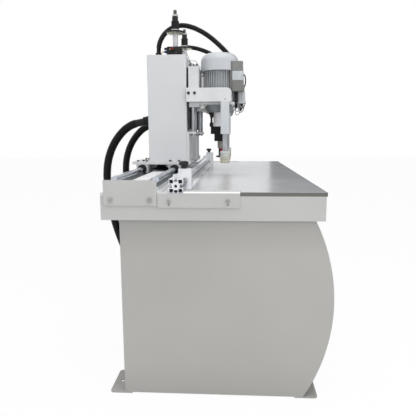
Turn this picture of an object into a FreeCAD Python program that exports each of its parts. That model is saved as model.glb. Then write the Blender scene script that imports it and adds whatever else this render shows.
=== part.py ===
import FreeCAD, Part
import math
import os
import re
import Sketcher

# Two-head hinge boring machine. Millimetres, +Z up, the operator stands on the -Y side and the
# table runs along X. The origin is on the floor, under the middle of the machine.
doc = FreeCAD.newDocument("hinge_boring_machine")

# Driving sizes. Distances of the heads are counted from each head's own middle plane.
sizes = {
    # table and frame
    "table_length": 2090, "table_height": 850, "table_thick": 16, "table_front": 419,
    "table_back": 112, "table_chamfer": 1, "bed_thick": 12, "frame_inset": 4, "frame_margin": 58,
    "frame_depth": 96, "frame_wall": 4, "frame_flange": 45, "cross_width": 40, "cross_spacing": 500,
    "cross_count": 4,
    # base cabinet
    "base_recess": 4, "panel_thick": 3, "base_margin": 72, "curve_radius": 754, "curve_offset": 94,
    "curve_drop": 450, "foot_thick": 5, "foot_length": 180, "foot_reach": 64, "foot_under": 30,
    "foot_corner": 16, "foot_hole_radius": 8, "panel_gap": 0.5,
    # guide rails and what carries them
    "rail_radius": 12.5, "rail_rise": 48, "rail_spacing": 164, "rail_setback": 77, "rail_web": 10,
    "rail_foot_width": 40, "rail_foot_thick": 8, "brake_bar_width": 60, "brake_bar_drop": 12,
    # plates on the ends of the frame
    "end_plate_thick": 5, "end_plate_lead": 2, "end_plate_tail": 44, "end_plate_low": 38,
    "end_plate_drop": 2, "end_screw_inset": 28, "end_screw_drop": 77, "end_screw_head": 10,
    "end_screw_thick": 5, "angle_thick": 4, "angle_length": 323, "angle_gap": 2, "angle_low": 45,
    "angle_flange": 60, "flange_thick": 2, "angle_round": 6, "angle_screw_inset": 47,
    "angle_screw_low": 19, "angle_screw_head": 8, "angle_slot_drop": 14, "screw_socket": 3,
    # fence beam
    "beam_size": 54, "beam_setback": 49, "slot_mouth": 10, "slot_lip": 3.5, "slot_width": 16,
    "slot_depth": 12, "corner_cavity": 14.5, "corner_wall": 2, "beam_core_radius": 6,
    # fence stops
    "stop_left_inset": 66, "stop_right_inset": 325, "stop_length": 44, "stop_overhang": 30,
    "stop_back_inset": 10, "stop_base_thick": 12, "stop_block_inset": 5, "stop_block_height": 24,
    "stop_plate_thick": 16, "stop_plate_drop": 45, "stop_gap": 0.3, "nut_neck": 9.4,
    "nut_width": 15.4, "nut_thick": 5, "knob_setback": 2, "knob_radius": 21, "knob_height": 14,
    "knob_lobe": 7, "knob_stud": 4, "knob_stud_length": 16, "knob_hub": 11, "knob_hub_height": 13.5,
    # carriages
    "head_a_x": -384, "head_b_x": 39, "carriage_half": 120, "carriage_lead": 79, "carriage_tail": 49,
    "carriage_rise": 24, "carriage_thick": 14, "bearing_width": 60, "bearing_length": 56,
    "bearing_drop": 18, "bearing_mouth": 20, "seal_radius": 21, "seal_thick": 5, "bearing_fit": 0.05,
    "plate_screw_head": 6, "plate_screw_thick": 7, "plate_screw_edge": 12, "plate_screw_across": 22,
    "plate_screw_step": 30, "brake_radius": 52, "brake_thick": 13, "brake_gap": 4, "brake_boss": 15,
    "brake_stem": 8,
    # column
    "column_half": 100, "column_lead": 17, "column_depth": 193, "column_height": 514,
    "column_wall": 3, "lid_thick": 6, "lid_inset": 2, "window_half": 32, "window_rise": 160,
    "window_height": 140, "slide_rail_half": 9, "slide_rail_offset": 52, "slide_rail_rise": 162,
    "guide_gap": 11, "foot_plate_height": 148, "bracket_thick": 10, "bracket_reach": 34,
    "bracket_half": 85, "column_corner": 4,
    # guides of the boring unit
    "guide_rod_radius": 10, "guide_rod_inset": 18, "guide_rod_offset": 60, "guide_rod_short": 19,
    "cap_radius": 11, "cap_thick": 10, "housing_half": 103, "housing_depth": 51,
    "housing_rise": 293, "housing_height": 170, "slide_fit": 0.05, "fitting_radius": 7,
    "fitting_height": 16, "fitting_spread": 34,
    # clamp brackets and hold-down clamps
    "clamp_plate_thick": 12, "clamp_plate_height": 67, "clamp_plate_reach": 212,
    "clamp_corner": 24, "socket_head": 7, "socket_drop": 25, "socket_back": 12, "socket_pitch": 30,
    "clamp_reach": 180, "clamp_width": 40, "clamp_depth": 42, "clamp_length": 157,
    "plunger_radius": 13.5, "piston_radius": 16.5, "piston_height": 12, "piston_drop": 23,
    "clamp_head": 10, "bush_height": 26, "clamp_foot_radius": 26, "clamp_foot_height": 59,
    "clamp_foot_rise": 79, "clamp_foot_floor": 12, "clamp_edge": 3,
    # boring unit
    "spindle_reach": 149.5, "carrier_half": 85, "carrier_reach": 77.5, "carrier_thick": 11,
    "carrier_gap": 1, "block_height": 22, "block_depth": 53, "block_gap": 0.3, "arm_half": 22,
    "arm_tail": 28, "motor_bore": 52, "flange_radius": 80, "flange_height": 12, "core_radius": 71,
    "fin_radius": 82, "fin_thick": 2.4, "fin_count": 40, "stator_bore": 56, "motor_height": 161,
    "shield_radius": 91.9, "shield_thick": 6, "fan_cover_radius": 94.5, "fan_cover_height": 82,
    "fan_cover_wall": 2.5, "dome_radius": 40, "grille_inner": 14, "grille_outer": 46,
    "grille_slot": 4, "grille_count": 20,
    # terminal box
    "box_half": 75, "box_near": 55.5, "box_reach": 124.5, "box_lean": 7, "box_rise": 53,
    "box_over": 37, "box_edge": 3, "lower_half": 34, "lower_near": 93.5, "lower_reach": 131.5,
    "lower_drop": 4, "box_gap": 0.3,
    # gearbox and spindles
    "bell_top_radius": 76, "bell_radius": 62, "bell_height": 36, "quill_radius": 31.5,
    "quill_length": 58, "quill_ring_radius": 42, "ring_height": 13, "adapter_half": 43.5,
    "adapter_height": 38, "gearbox_half": 42, "gearbox_lead": 31.5, "gearbox_tail": 25.5,
    "gearbox_height": 36, "gearbox_wall": 5, "quill_bore": 20, "gearbox_edge": 3,
    "spindle_pitch": 45, "spindle_offset": 9.5, "gear_rise": 8, "gear_height": 18,
    "gear_teeth": 20, "gear_backlash": 0.25, "gear_clearance": 0.6, "centre_shaft": 8,
    "side_shaft": 7, "side_shaft_drop": 4, "centre_chuck": 10.5, "side_chuck": 9.5,
    "chuck_length": 36, "bearing_ring_height": 6, "shaft_fit": 0.05, "shaft_over": 48,
    "motor_shaft": 12, "rotor_radius": 50, "rotor_rise": 34, "rotor_drop": 22,
    "cooling_radius": 72, "cooling_rise": 6, "cooling_height": 30, "blade_thick": 3,
    "blade_count": 7, "cup_radius": 17.5, "cup_height": 8, "cup_shank": 5, "cup_length": 47,
    "cup_notch": 4, "cup_point": 3, "dowel_radius": 4, "dowel_collar": 5,
    "dowel_collar_height": 20, "dowel_extra": 2, "dowel_point": 4,
    # lift cylinder
    "lift_setback": 114, "lift_radius": 32, "lift_wall": 4, "lift_rise": 18, "lift_drop": 46,
    "lift_rod": 10, "lift_piston": 12, "lift_cap": 14, "lift_cap_half": 38,
    # depth stop on the column
    "depth_setback": 63, "top_block_half": 34, "top_block_tail": 41, "top_block_lead": 33,
    "top_block_height": 50, "top_block_edge": 5, "post_radius": 13, "post_height": 65,
    "disc_radius": 47, "disc_thick": 12, "disc_lip": 3, "stud_radius": 9, "stud_depth": 50,
    "stud_over": 31, "stud_fit": 0.08, "sleeve_radius": 19.5, "sleeve_rise": 9,
    "sleeve_length": 42, "sleeve_neck": 15, "sleeve_neck_height": 21, "lock_nut_radius": 14,
    "lock_nut_height": 9, "knurl_count": 24, "knurl_depth": 1.2, "washer_radius": 22,
    "valve_radius": 5, "valve_length": 14,
    # hoses and conduits, with the fittings they run from
    "hose_radius": 21, "hose_valley": 18.8, "hose_bore": 16, "hose_ribs": 190, "collar_radius": 26,
    "collar_tilt": 9, "collar_reach": 42, "hose_rise": 201, "hose_lead": 46, "hose_bulge": 208,
    "inlet_tilt": 30, "inlet_reach": 44, "inlet_drop": 346, "inlet_lead": 60,
    "inlet_shift_a": -52, "inlet_shift_b": 120, "conduit_radius": 13, "conduit_valley": 11.4,
    "conduit_bore": 9, "conduit_ribs": 120, "conduit_rise_a": 139, "conduit_rise_b": 107,
    "conduit_lead_a": 34, "conduit_lead_b": 30, "gland_radius": 17, "gland_x": 45,
    "gland_setback": 157, "gland_height": 32, "gland_nut": 14, "elbow_gap": 16,
    "elbow_setback": 78.5, "elbow_under": 23, "elbow_radius": 15, "elbow_drop": 34,
    # how far every cutting tool runs past the face it leaves
    "overrun": 2,
}

# Places that follow from the sizes.
places = {
    "half_length": "table_length / 2",
    "top_under": "table_height - table_thick",
    "bed_top": "top_under + bed_thick",
    "flange_top": "table_height + flange_thick",
    # across the table
    "frame_front": "table_front - frame_inset",
    "beam_middle": "table_back + beam_setback",
    "beam_front": "beam_middle - beam_size / 2",
    "beam_back": "beam_middle + beam_size / 2",
    "rail_front": "beam_middle + rail_setback",
    "rail_back": "rail_front + rail_spacing",
    "brake_middle": "(rail_front + rail_back) / 2",
    "frame_back": "rail_back + frame_margin",
    "base_back": "frame_back - base_margin",
    "curve_centre_y": "base_back - curve_offset",
    "end_plate_front": "rail_front - end_plate_lead",
    "end_plate_back": "rail_back + end_plate_tail",
    "angle_start": "end_plate_front - angle_length",
    "stop_front": "beam_front - stop_overhang",
    "stop_back": "beam_back - stop_back_inset",
    "stop_block_back": "beam_middle - stop_block_inset",
    "knob_middle": "beam_front + knob_setback",
    "carriage_front": "rail_front - carriage_lead",
    "carriage_back": "rail_back + carriage_tail",
    "column_front": "carriage_front + column_lead",
    "column_back": "column_front + column_depth",
    "guide_face": "column_front - guide_gap",
    "bracket_front": "guide_face - bracket_reach",
    "guide_rod_y": "guide_face - guide_rod_inset",
    "housing_front": "guide_face - housing_depth",
    "block_front": "guide_face - block_depth",
    "clamp_plate_front": "clamp_plate_reach - guide_face",
    "clamp_y": "guide_face - clamp_reach",
    "axis_y": "guide_face - spindle_reach",
    "side_y": "axis_y - spindle_offset",
    "carrier_front": "carrier_reach - axis_y",
    "box_back": "box_near - axis_y",
    "box_front": "box_reach - axis_y",
    "lower_back": "lower_near - axis_y",
    "lower_front": "lower_reach - axis_y",
    "elbow_y": "axis_y - elbow_setback",
    "gearbox_front": "gearbox_lead - axis_y",
    "gearbox_back": "axis_y + gearbox_tail",
    "lift_y": "column_front + lift_setback",
    "arm_back": "lift_y + arm_tail",
    "depth_y": "column_front + depth_setback",
    "top_block_back": "depth_y + top_block_tail",
    "top_block_front": "depth_y - top_block_lead",
    "gland_y": "column_front + gland_setback",
    "hose_y": "column_back + collar_reach",
    "inlet_y": "base_back + inlet_reach",
    # along the table
    "base_half": "half_length - base_recess",
    "end_face": "half_length + end_plate_thick",
    "angle_face": "half_length + angle_thick",
    "stop_left_x": "stop_left_inset - half_length",
    "stop_right_x": "half_length - stop_right_inset",
    "clamp_x": "housing_half + clamp_plate_thick / 2",
    "elbow_x": "box_half + elbow_gap",
    # heights of the frame
    "frame_bottom": "top_under - frame_depth",
    "curve_centre_z": "table_height - curve_drop",
    "curve_toe": "curve_centre_y - sqrt(curve_radius ^ 2 - curve_centre_z ^ 2)",
    "curve_head": "curve_centre_y - curve_radius - overrun",
    "rail_height": "table_height + rail_rise",
    "brake_bar_top": "rail_height - brake_bar_drop",
    "end_plate_top": "rail_height - end_plate_drop",
    "end_plate_bottom": "top_under - end_plate_low",
    "angle_bottom": "top_under - angle_low",
    "angle_screw_height": "top_under - angle_screw_low",
    "beam_bottom": "bed_top",
    "beam_top": "beam_bottom + beam_size",
    "beam_core": "beam_bottom + beam_size / 2",
    "stop_base": "beam_top + stop_gap",
    "stop_block_top": "stop_base + stop_base_thick + stop_block_height",
    # heights of a head
    "carriage_bottom": "rail_height + carriage_rise",
    "carriage_top": "carriage_bottom + carriage_thick",
    "bearing_bottom": "rail_height - bearing_drop",
    "brake_top": "brake_bar_top + brake_gap + brake_thick",
    "column_top": "carriage_top + column_height",
    "lid_top": "column_top + lid_thick",
    "window_bottom": "carriage_top + window_rise",
    "window_top": "window_bottom + window_height",
    "slide_rail_bottom": "carriage_top + slide_rail_rise",
    "foot_plate_top": "carriage_top + foot_plate_height",
    "housing_bottom": "carriage_top + housing_rise",
    "housing_top": "housing_bottom + housing_height",
    "guide_rod_top": "housing_top - guide_rod_short",
    "clamp_plate_top": "housing_bottom + clamp_plate_height",
    "clamp_bottom": "housing_bottom - clamp_length",
    "piston_top": "housing_bottom - piston_drop",
    "clamp_foot_bottom": "table_height + clamp_foot_rise",
    "clamp_foot_top": "clamp_foot_bottom + clamp_foot_height",
    "carrier_top": "housing_bottom - carrier_gap",
    "carrier_bottom": "carrier_top - carrier_thick",
    "block_bottom": "carrier_top - block_height",
    "motor_top": "carrier_top + motor_height",
    "shield_bottom": "motor_top - shield_thick",
    "fan_cover_top": "motor_top + fan_cover_height",
    "box_bottom": "carrier_top + box_rise",
    "box_top": "motor_top + box_over",
    "lower_bottom": "carrier_top - lower_drop",
    "elbow_top": "motor_top - elbow_under",
    "bell_bottom": "carrier_bottom - bell_height",
    "ring_top": "bell_bottom - quill_length",
    "ring_bottom": "ring_top - ring_height",
    "adapter_bottom": "ring_bottom - adapter_height",
    "gearbox_bottom": "adapter_bottom - gearbox_height",
    "gear_bottom": "gearbox_bottom + gear_rise",
    "gear_distance": "sqrt((spindle_pitch / 2) ^ 2 + spindle_offset ^ 2)",
    "side_shaft_top": "adapter_bottom - side_shaft_drop",
    "chuck_bottom": "gearbox_bottom - chuck_length",
    "cup_bottom": "chuck_bottom - cup_length",
    "dowel_bottom": "cup_bottom - dowel_extra",
    "shaft_top": "motor_top + shaft_over",
    "rotor_bottom": "carrier_top + rotor_rise",
    "rotor_top": "shield_bottom - rotor_drop",
    "cooling_bottom": "motor_top + cooling_rise",
    "lift_bottom": "carrier_top + lift_rise",
    "lift_top": "column_top - lift_drop",
    "top_block_top": "lid_top + top_block_height",
    "post_top": "top_block_top + post_height",
    "disc_top": "post_top + disc_thick",
    "stud_bottom": "column_top - stud_depth",
    "sleeve_bottom": "disc_top + sleeve_rise",
    "sleeve_step": "sleeve_bottom + sleeve_length",
    "sleeve_top": "sleeve_step + sleeve_neck_height",
    "stud_top": "sleeve_top + stud_over",
    "gland_top": "lid_top + gland_height",
    "hose_top": "carriage_top + hose_rise",
    "inlet_height": "frame_bottom - inlet_drop",
}

owners = {name: "Sizes" for name in sizes}
owners.update({name: "Places" for name in places})


def full(formula):
    """Put the owning sheet before each name of a formula."""
    return re.sub(r"[a-z_]+[a-z]", lambda word: owners.get(word[0], "") + "." * (word[0] in owners)
                  + word[0], formula)


sheets = {}
for title, cells in (("Sizes", sizes), ("Places", places)):
    sheets[title] = doc.addObject("Spreadsheet::Sheet", title)
    for row, (name, content) in enumerate(cells.items(), start=1):
        sheets[title].set(f"A{row}", name)
        text = str(content) if title == "Sizes" else "=" + full(content)
        sheets[title].set(f"B{row}", text)
        sheets[title].setAlias(f"B{row}", name)
    doc.recompute()


def number(name):
    """The present value of one named size or place."""
    return float(getattr(sheets[owners[name]], name))


def worth(formula):
    """The present value of a formula."""
    result = sheets["Sizes"].evalExpression(full(formula))
    return float(getattr(result, "Value", result))


# Small makers. Each takes formulas of the named sizes and binds them to the shape it makes.
def bind(piece, path, formula):
    piece.setExpression(path, full(formula))


def slab(left, right, front, back, bottom, top):
    """A box given by its six faces."""
    box = doc.addObject("Part::Box", "slab")
    for axis, low, high, side in (("x", left, right, "Length"), ("y", front, back, "Width"),
                                  ("z", bottom, top, "Height")):
        bind(box, side, f"({high}) - ({low})")
        bind(box, "Placement.Base." + axis, low)
    return box


turns = {"X": FreeCAD.Rotation(FreeCAD.Vector(0, 1, 0), 90),
         "Y": FreeCAD.Rotation(FreeCAD.Vector(1, 0, 0), -90),
         "Z": FreeCAD.Rotation()}


def seat(piece, rotation, start):
    """Turn a piece and bind the point that it starts from."""
    piece.Placement = FreeCAD.Placement(FreeCAD.Vector(), rotation)
    for axis, formula in zip("xyz", start):
        bind(piece, "Placement.Base." + axis, formula)
    return piece


def bar(axis, start, radius, length, rotation=None):
    """A cylinder along an axis, or along Z turned by a rotation of its own."""
    cylinder = doc.addObject("Part::Cylinder", "bar")
    bind(cylinder, "Radius", radius)
    bind(cylinder, "Height", length)
    return seat(cylinder, rotation or turns[axis], start)


def post(x, y, bottom, top, radius):
    """An upright cylinder between two heights."""
    return bar("Z", (x, y, bottom), radius, f"({top}) - ({bottom})")


def cone(x, y, bottom, top, low_radius, high_radius):
    shape = doc.addObject("Part::Cone", "cone")
    bind(shape, "Radius1", low_radius)
    bind(shape, "Radius2", high_radius)
    bind(shape, "Height", f"({top}) - ({bottom})")
    return seat(shape, turns["Z"], (x, y, bottom))


def fuse(*pieces):
    if len(pieces) == 1:
        return pieces[0]
    joined = doc.addObject("Part::MultiFuse", "fuse")
    joined.Shapes = list(pieces)
    return joined


def cut(piece, *tools):
    result = doc.addObject("Part::Cut", "cut")
    result.Base = piece
    result.Tool = fuse(*tools)
    return result


def overlap(first, second):
    result = doc.addObject("Part::Common", "overlap")
    result.Base = first
    result.Tool = second
    return result


def group(*pieces):
    """Separate solids that share one node."""
    compound = doc.addObject("Part::Compound", "group")
    compound.Links = list(pieces)
    return compound


def upright(edge):
    box = edge.BoundBox
    return box.ZLength > box.XLength + box.YLength


def rounded(piece, radius, wanted):
    """Fillet the edges that a test picks."""
    piece.recompute(True)
    result = doc.addObject("Part::Fillet", "rounded")
    result.Base = piece
    size = worth(radius)
    result.Edges = [(index, size, size) for index, edge in enumerate(piece.Shape.Edges, start=1)
                    if wanted(edge)]
    return result


def new_body(name):
    return doc.addObject("PartDesign::Body", name)


def origin_feature(body, role):
    return next(item for item in body.Origin.OriginFeatures if item.Role == role)


def new_sketch(body, role, lift):
    sketch = body.newObject("Sketcher::SketchObject", "sketch")
    sketch.AttachmentSupport = (origin_feature(body, role), "")
    sketch.MapMode = "FlatFace"
    if lift:
        bind(sketch, "AttachmentOffset.Base.z", lift)
    return sketch


def hold(sketch, kind, links, formula):
    """Add one constraint and bind its value to a formula."""
    index = sketch.addConstraint(Sketcher.Constraint(kind, *links, worth(formula)))
    name = f"{kind}_{index}"
    sketch.renameConstraint(index, name)
    bind(sketch, "Constraints." + name, formula)


def outline(body, role, corners, lift=None):
    """A closed outline of straight lines between bound corners."""
    sketch = new_sketch(body, role, lift)
    spots = [FreeCAD.Vector(worth(u), worth(v), 0) for u, v in corners]
    count = len(spots)
    for index, spot in enumerate(spots):
        sketch.addGeometry(Part.LineSegment(spot, spots[(index + 1) % count]))
    for index in range(count):
        sketch.addConstraint(Sketcher.Constraint("Coincident", index, 2, (index + 1) % count, 1))
    for index, (u, v) in enumerate(corners):
        hold(sketch, "DistanceX", (-1, 1, index, 1), u)
        hold(sketch, "DistanceY", (-1, 1, index, 1), v)
    return sketch


def disc_sketch(body, circles, lift=None):
    """Circles on the level plane, each with a bound centre and radius."""
    sketch = new_sketch(body, "XY_Plane", lift)
    for index, (u, v, radius) in enumerate(circles):
        middle = FreeCAD.Vector(worth(u), worth(v), 0)
        sketch.addGeometry(Part.Circle(middle, FreeCAD.Vector(0, 0, 1), worth(radius)))
        hold(sketch, "DistanceX", (-1, 1, index, 3), u)
        hold(sketch, "DistanceY", (-1, 1, index, 3), v)
        hold(sketch, "Radius", (index,), radius)
    return sketch


def pad(body, sketch, length):
    feature = body.newObject("PartDesign::Pad", "pad")
    feature.Profile = sketch
    bind(feature, "Length", length)
    return feature


def pocket(body, sketch, length):
    """Cut downwards from the sketch."""
    feature = body.newObject("PartDesign::Pocket", "pocket")
    feature.Profile = sketch
    bind(feature, "Length", length)
    return feature


def revolve(body, sketch):
    feature = body.newObject("PartDesign::Revolution", "revolve")
    feature.Profile = sketch
    feature.ReferenceAxis = (sketch, ["V_Axis"])
    feature.Angle = 360
    return feature


def repeat(body, feature, count):
    """Copies of a feature round the body's upright axis."""
    pattern = body.newObject("PartDesign::PolarPattern", "pattern")
    pattern.Originals = [feature]
    pattern.Axis = (origin_feature(body, "Z_Axis"), [""])
    pattern.Angle = 360
    bind(pattern, "Occurrences", count)
    body.Tip = pattern
    return pattern


def round_edges(body, feature, radius, wanted):
    feature.recompute(True)
    fillet = body.newObject("PartDesign::Fillet", "fillet")
    names = [f"Edge{index}" for index, edge in enumerate(feature.Shape.Edges, start=1) if wanted(edge)]
    fillet.Base = (feature, names)
    bind(fillet, "Radius", radius)
    body.Tip = fillet
    return fillet


nodes = {}


def keep(label, piece, x="0", y="0"):
    """Name a finished piece and bind where it stands."""
    piece.Label = label
    bind(piece, "Placement.Base.x", x)
    bind(piece, "Placement.Base.y", y)
    nodes[label] = piece


def mirrored(side, inner, outer):
    """The two bounds of something that lies between inner and outer on one end of the machine."""
    if side == "far":
        return inner, outer
    return f"-({outer})", f"-({inner})"


ends = ("near", "far")
signs = ("-", "")


# Base and table
def foot_plate(side, front, back, outer_edge):
    """One foot plate with its rounded outer corners and its bolt hole."""
    left, right = mirrored(side, "base_half - foot_length", "base_half")
    body = new_body("foot")
    corners = [(left, front), (right, front), (right, back), (left, back)]
    plate = pad(body, outline(body, "XY_Plane", corners), "foot_thick")
    target = worth(outer_edge)
    round_edges(body, plate, "foot_corner",
                lambda edge: upright(edge) and abs(edge.BoundBox.YMin - target) < edge.Length)
    middle = f"({left} + {right}) / 2"
    inward = "foot_reach / 2" if outer_edge == front else "-foot_reach / 2"
    hole = disc_sketch(body, [(middle, f"{outer_edge} + {inward}", "foot_hole_radius")],
                       "foot_thick")
    pocket(body, hole, "foot_thick + overrun")
    return body


def base_cabinet():
    whole = ("-half_length", "curve_centre_y", "curve_centre_z")
    pieces = []
    for side in ends:
        left, right = mirrored(side, "base_half - panel_thick", "base_half")
        sheet = slab(left, right, "curve_head", "base_back", "foot_thick", "frame_bottom")
        pieces.append(overlap(sheet, bar("X", whole, "curve_radius", "table_length")))
    inner = "base_half - panel_thick"
    shell = cut(bar("X", whole, "curve_radius", "table_length"),
                bar("X", whole, "curve_radius - panel_thick", "table_length"))
    space = slab(f"-({inner})", inner, "curve_head", "0", "foot_thick", "frame_bottom")
    pieces.append(overlap(space, shell))
    floor = slab(f"-({inner})", inner, "curve_head", "base_back - panel_thick", "foot_thick",
                 "foot_thick + panel_thick")
    pieces.append(overlap(floor, bar("X", whole, "curve_radius - panel_thick", "table_length")))
    for side in ends:
        pieces.append(foot_plate(side, "base_back - foot_under", "base_back + foot_reach",
                                 "base_back + foot_reach"))
        pieces.append(foot_plate(side, "curve_toe - foot_reach", "curve_toe + foot_under",
                                 "curve_toe - foot_reach"))
    keep("base_cabinet", group(*pieces))


def tilted(angle):
    """A turn that points the upright axis backwards and up by an angle, or down if it is negative."""
    return FreeCAD.Rotation(FreeCAD.Vector(1, 0, 0), angle - 90)


def base_rear_panel():
    panel = slab("-(base_half - panel_thick)", "base_half - panel_thick", "base_back - panel_thick",
                 "base_back", "foot_thick", "frame_bottom")
    lean = tilted(number("inlet_tilt"))
    reach = "2 * collar_radius + 2 * panel_thick"
    holes = []
    collars = []
    for head in heads:
        middle = f"{head_x(head)} + inlet_shift_{head}"
        start = (middle, f"inlet_y - ({reach}) * cos(inlet_tilt)",
                 f"inlet_height - ({reach}) * sin(inlet_tilt)")
        collar = cut(bar("Z", start, "collar_radius", reach, lean),
                     bar("Z", start, "hose_bore", f"{reach} + overrun", lean),
                     slab(f"{middle} - 2 * collar_radius", f"{middle} + 2 * collar_radius",
                          f"base_back - ({reach})", "base_back", f"inlet_height - ({reach})",
                          f"inlet_height + ({reach})"))
        collars.append(collar)
        holes.append(bar("Z", start, "hose_bore", reach, lean))
    keep("base_rear_panel", group(cut(panel, *holes), *collars))


def apron_screw_spots():
    """Where the end plates' screws sit on the end faces: across, height."""
    return (("end_plate_back - end_screw_inset", "end_plate_top - end_screw_drop", "end_screw_head"),
            ("end_plate_front + end_screw_inset", "end_plate_top - end_screw_drop", "end_screw_head"),
            ("end_plate_front - angle_screw_inset", "angle_screw_height", "angle_screw_head"),
            ("angle_start + angle_screw_inset", "angle_screw_height", "angle_screw_head"))


def table_frame():
    inner_x = "half_length - frame_wall"
    inside = slab(f"-({inner_x})", inner_x, "-frame_front + frame_wall", "frame_back - frame_wall",
                  "frame_bottom + frame_wall", "top_under + overrun")
    opening = slab("-half_length + frame_flange", "half_length - frame_flange",
                   "-frame_front + frame_flange", "frame_back - frame_flange",
                   "frame_bottom - overrun", "frame_bottom + frame_wall + overrun")
    box = slab("-half_length", "half_length", "-frame_front", "frame_back", "frame_bottom", "top_under")
    drills = []
    for across, height, head in apron_screw_spots():
        drills.append(bar("X", ("-end_face", across, height), f"{head} / 2", "2 * end_face"))
    frame = cut(box, inside, opening)
    crosses = []
    hollows = []
    count = int(number("cross_count"))
    for index in range(count):
        middle = f"({index} - ({count} - 1) / 2) * cross_spacing"
        crosses.append(slab(f"{middle} - cross_width / 2", f"{middle} + cross_width / 2",
                            "-frame_front + frame_wall", "frame_back - frame_wall",
                            "frame_bottom + frame_wall", "top_under"))
        hollows.append(slab(f"{middle} - cross_width / 2 + frame_wall",
                            f"{middle} + cross_width / 2 - frame_wall", "-frame_front + frame_wall",
                            "frame_back - frame_wall", "frame_bottom + 2 * frame_wall",
                            "top_under - frame_wall"))
    keep("table_frame", cut(fuse(frame, cut(fuse(*crosses), *hollows)), *drills))


def table_top():
    body = new_body("top")
    corners = [("-half_length", "-table_front"), ("half_length", "-table_front"),
               ("half_length", "table_back"), ("-half_length", "table_back")]
    plate = pad(body, outline(body, "XY_Plane", corners, "top_under"), "table_thick")
    plate.recompute(True)
    edges = [f"Edge{index}" for index, edge in enumerate(plate.Shape.Edges, start=1)
             if abs(edge.BoundBox.ZMin - number("table_height")) < number("table_chamfer")
             and edge.BoundBox.YMin < 0]
    bevel = body.newObject("PartDesign::Chamfer", "bevel")
    bevel.Base = (plate, edges)
    bind(bevel, "Size", "table_chamfer")
    body.Tip = bevel
    keep("table_top", body)


def rail_bed():
    pieces = [slab("-half_length", "half_length", "table_back", "frame_back", "top_under", "bed_top"),
              slab("-half_length", "half_length", "brake_middle - brake_bar_width / 2",
                   "brake_middle + brake_bar_width / 2", "bed_top", "brake_bar_top")]
    for middle in ("rail_back", "rail_front"):
        sole = slab("-half_length", "half_length", f"{middle} - rail_foot_width / 2",
                    f"{middle} + rail_foot_width / 2", "bed_top", "bed_top + rail_foot_thick")
        web = slab("-half_length", "half_length", f"{middle} - rail_web / 2", f"{middle} + rail_web / 2",
                   "bed_top + rail_foot_thick", "rail_height - rail_radius / 2")
        rail = bar("X", ("-end_face", middle, "rail_height"), "rail_radius", "2 * end_face")
        pieces.append(cut(fuse(sole, web), rail))
    keep("rail_bed", group(*pieces))


def guide_rails():
    rails = [bar("X", ("-half_length", middle, "rail_height"), "rail_radius", "table_length")
             for middle in ("rail_back", "rail_front")]
    keep("guide_rails", group(*rails))


def end_screw(side, across, height, head, face):
    """A cap screw whose head stands on the outer face of a plate."""
    low, high = mirrored(side, face, f"{face} + end_screw_thick")
    cap = bar("X", (low, across, height), head, "end_screw_thick")
    low, high = mirrored(side, "half_length - 2 * frame_wall", f"{face} + end_screw_thick / 2")
    shank = bar("X", (low, across, height), f"{head} / 2 - panel_gap", f"({high}) - ({low})")
    low, high = mirrored(side, f"{face} + end_screw_thick / 2", f"{face} + end_screw_thick + overrun")
    socket = bar("X", (low, across, height), f"{head} * screw_socket / 6", f"({high}) - ({low})")
    return cut(fuse(cap, shank), socket)


def end_plates():
    pieces = []
    spots = apron_screw_spots()
    for side in ends:
        low, high = mirrored(side, "half_length", "end_face")
        plate = slab(low, high, "end_plate_front", "end_plate_back", "end_plate_bottom", "end_plate_top")
        through = mirrored(side, "half_length - overrun", "end_face + overrun")
        span = f"({through[1]}) - ({through[0]})"
        holes = [bar("X", (through[0], across, height), f"{head} / 2", span)
                 for across, height, head in spots[:2]]
        pieces.append(cut(plate, *holes))
        pieces.extend(end_screw(side, *spot, "end_face") for spot in spots[:2])
        low, high = mirrored(side, "half_length", "angle_face")
        leg = slab(low, high, "angle_start", "end_plate_front - angle_gap", "angle_bottom",
                   "beam_bottom - angle_gap")
        rise = slab(low, high, "angle_start", "beam_front - angle_gap", "angle_bottom", "flange_top")
        low, high = mirrored(side, "half_length - angle_flange", "half_length")
        flange = slab(low, high, "angle_start", "beam_front - angle_gap", "table_height",
                      "flange_top")
        angle = fuse(leg, rise, flange)
        angle.Refine = True
        angle = rounded(angle, "angle_round", lambda edge: edge.BoundBox.ZMin > worth(
            "flange_top - panel_gap") and edge.BoundBox.YLength > worth("angle_thick")
            and abs(edge.BoundBox.Center.x) > worth("angle_face - panel_gap"))
        slots = []
        for across, height, head in spots[2:]:
            slots.append(bar("X", (through[0], across, height), f"{head} / 2", span))
            slots.append(slab(through[0], through[1], f"{across} - {head} / 2", f"{across} + {head} / 2",
                              f"{height} - angle_slot_drop", height))
            slots.append(bar("X", (through[0], across, f"{height} - angle_slot_drop"), f"{head} / 2",
                             span))
        pieces.append(cut(angle, *slots))
        pieces.extend(end_screw(side, *spot, "angle_face") for spot in spots[2:])
    keep("end_plates", group(*pieces))


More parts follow.
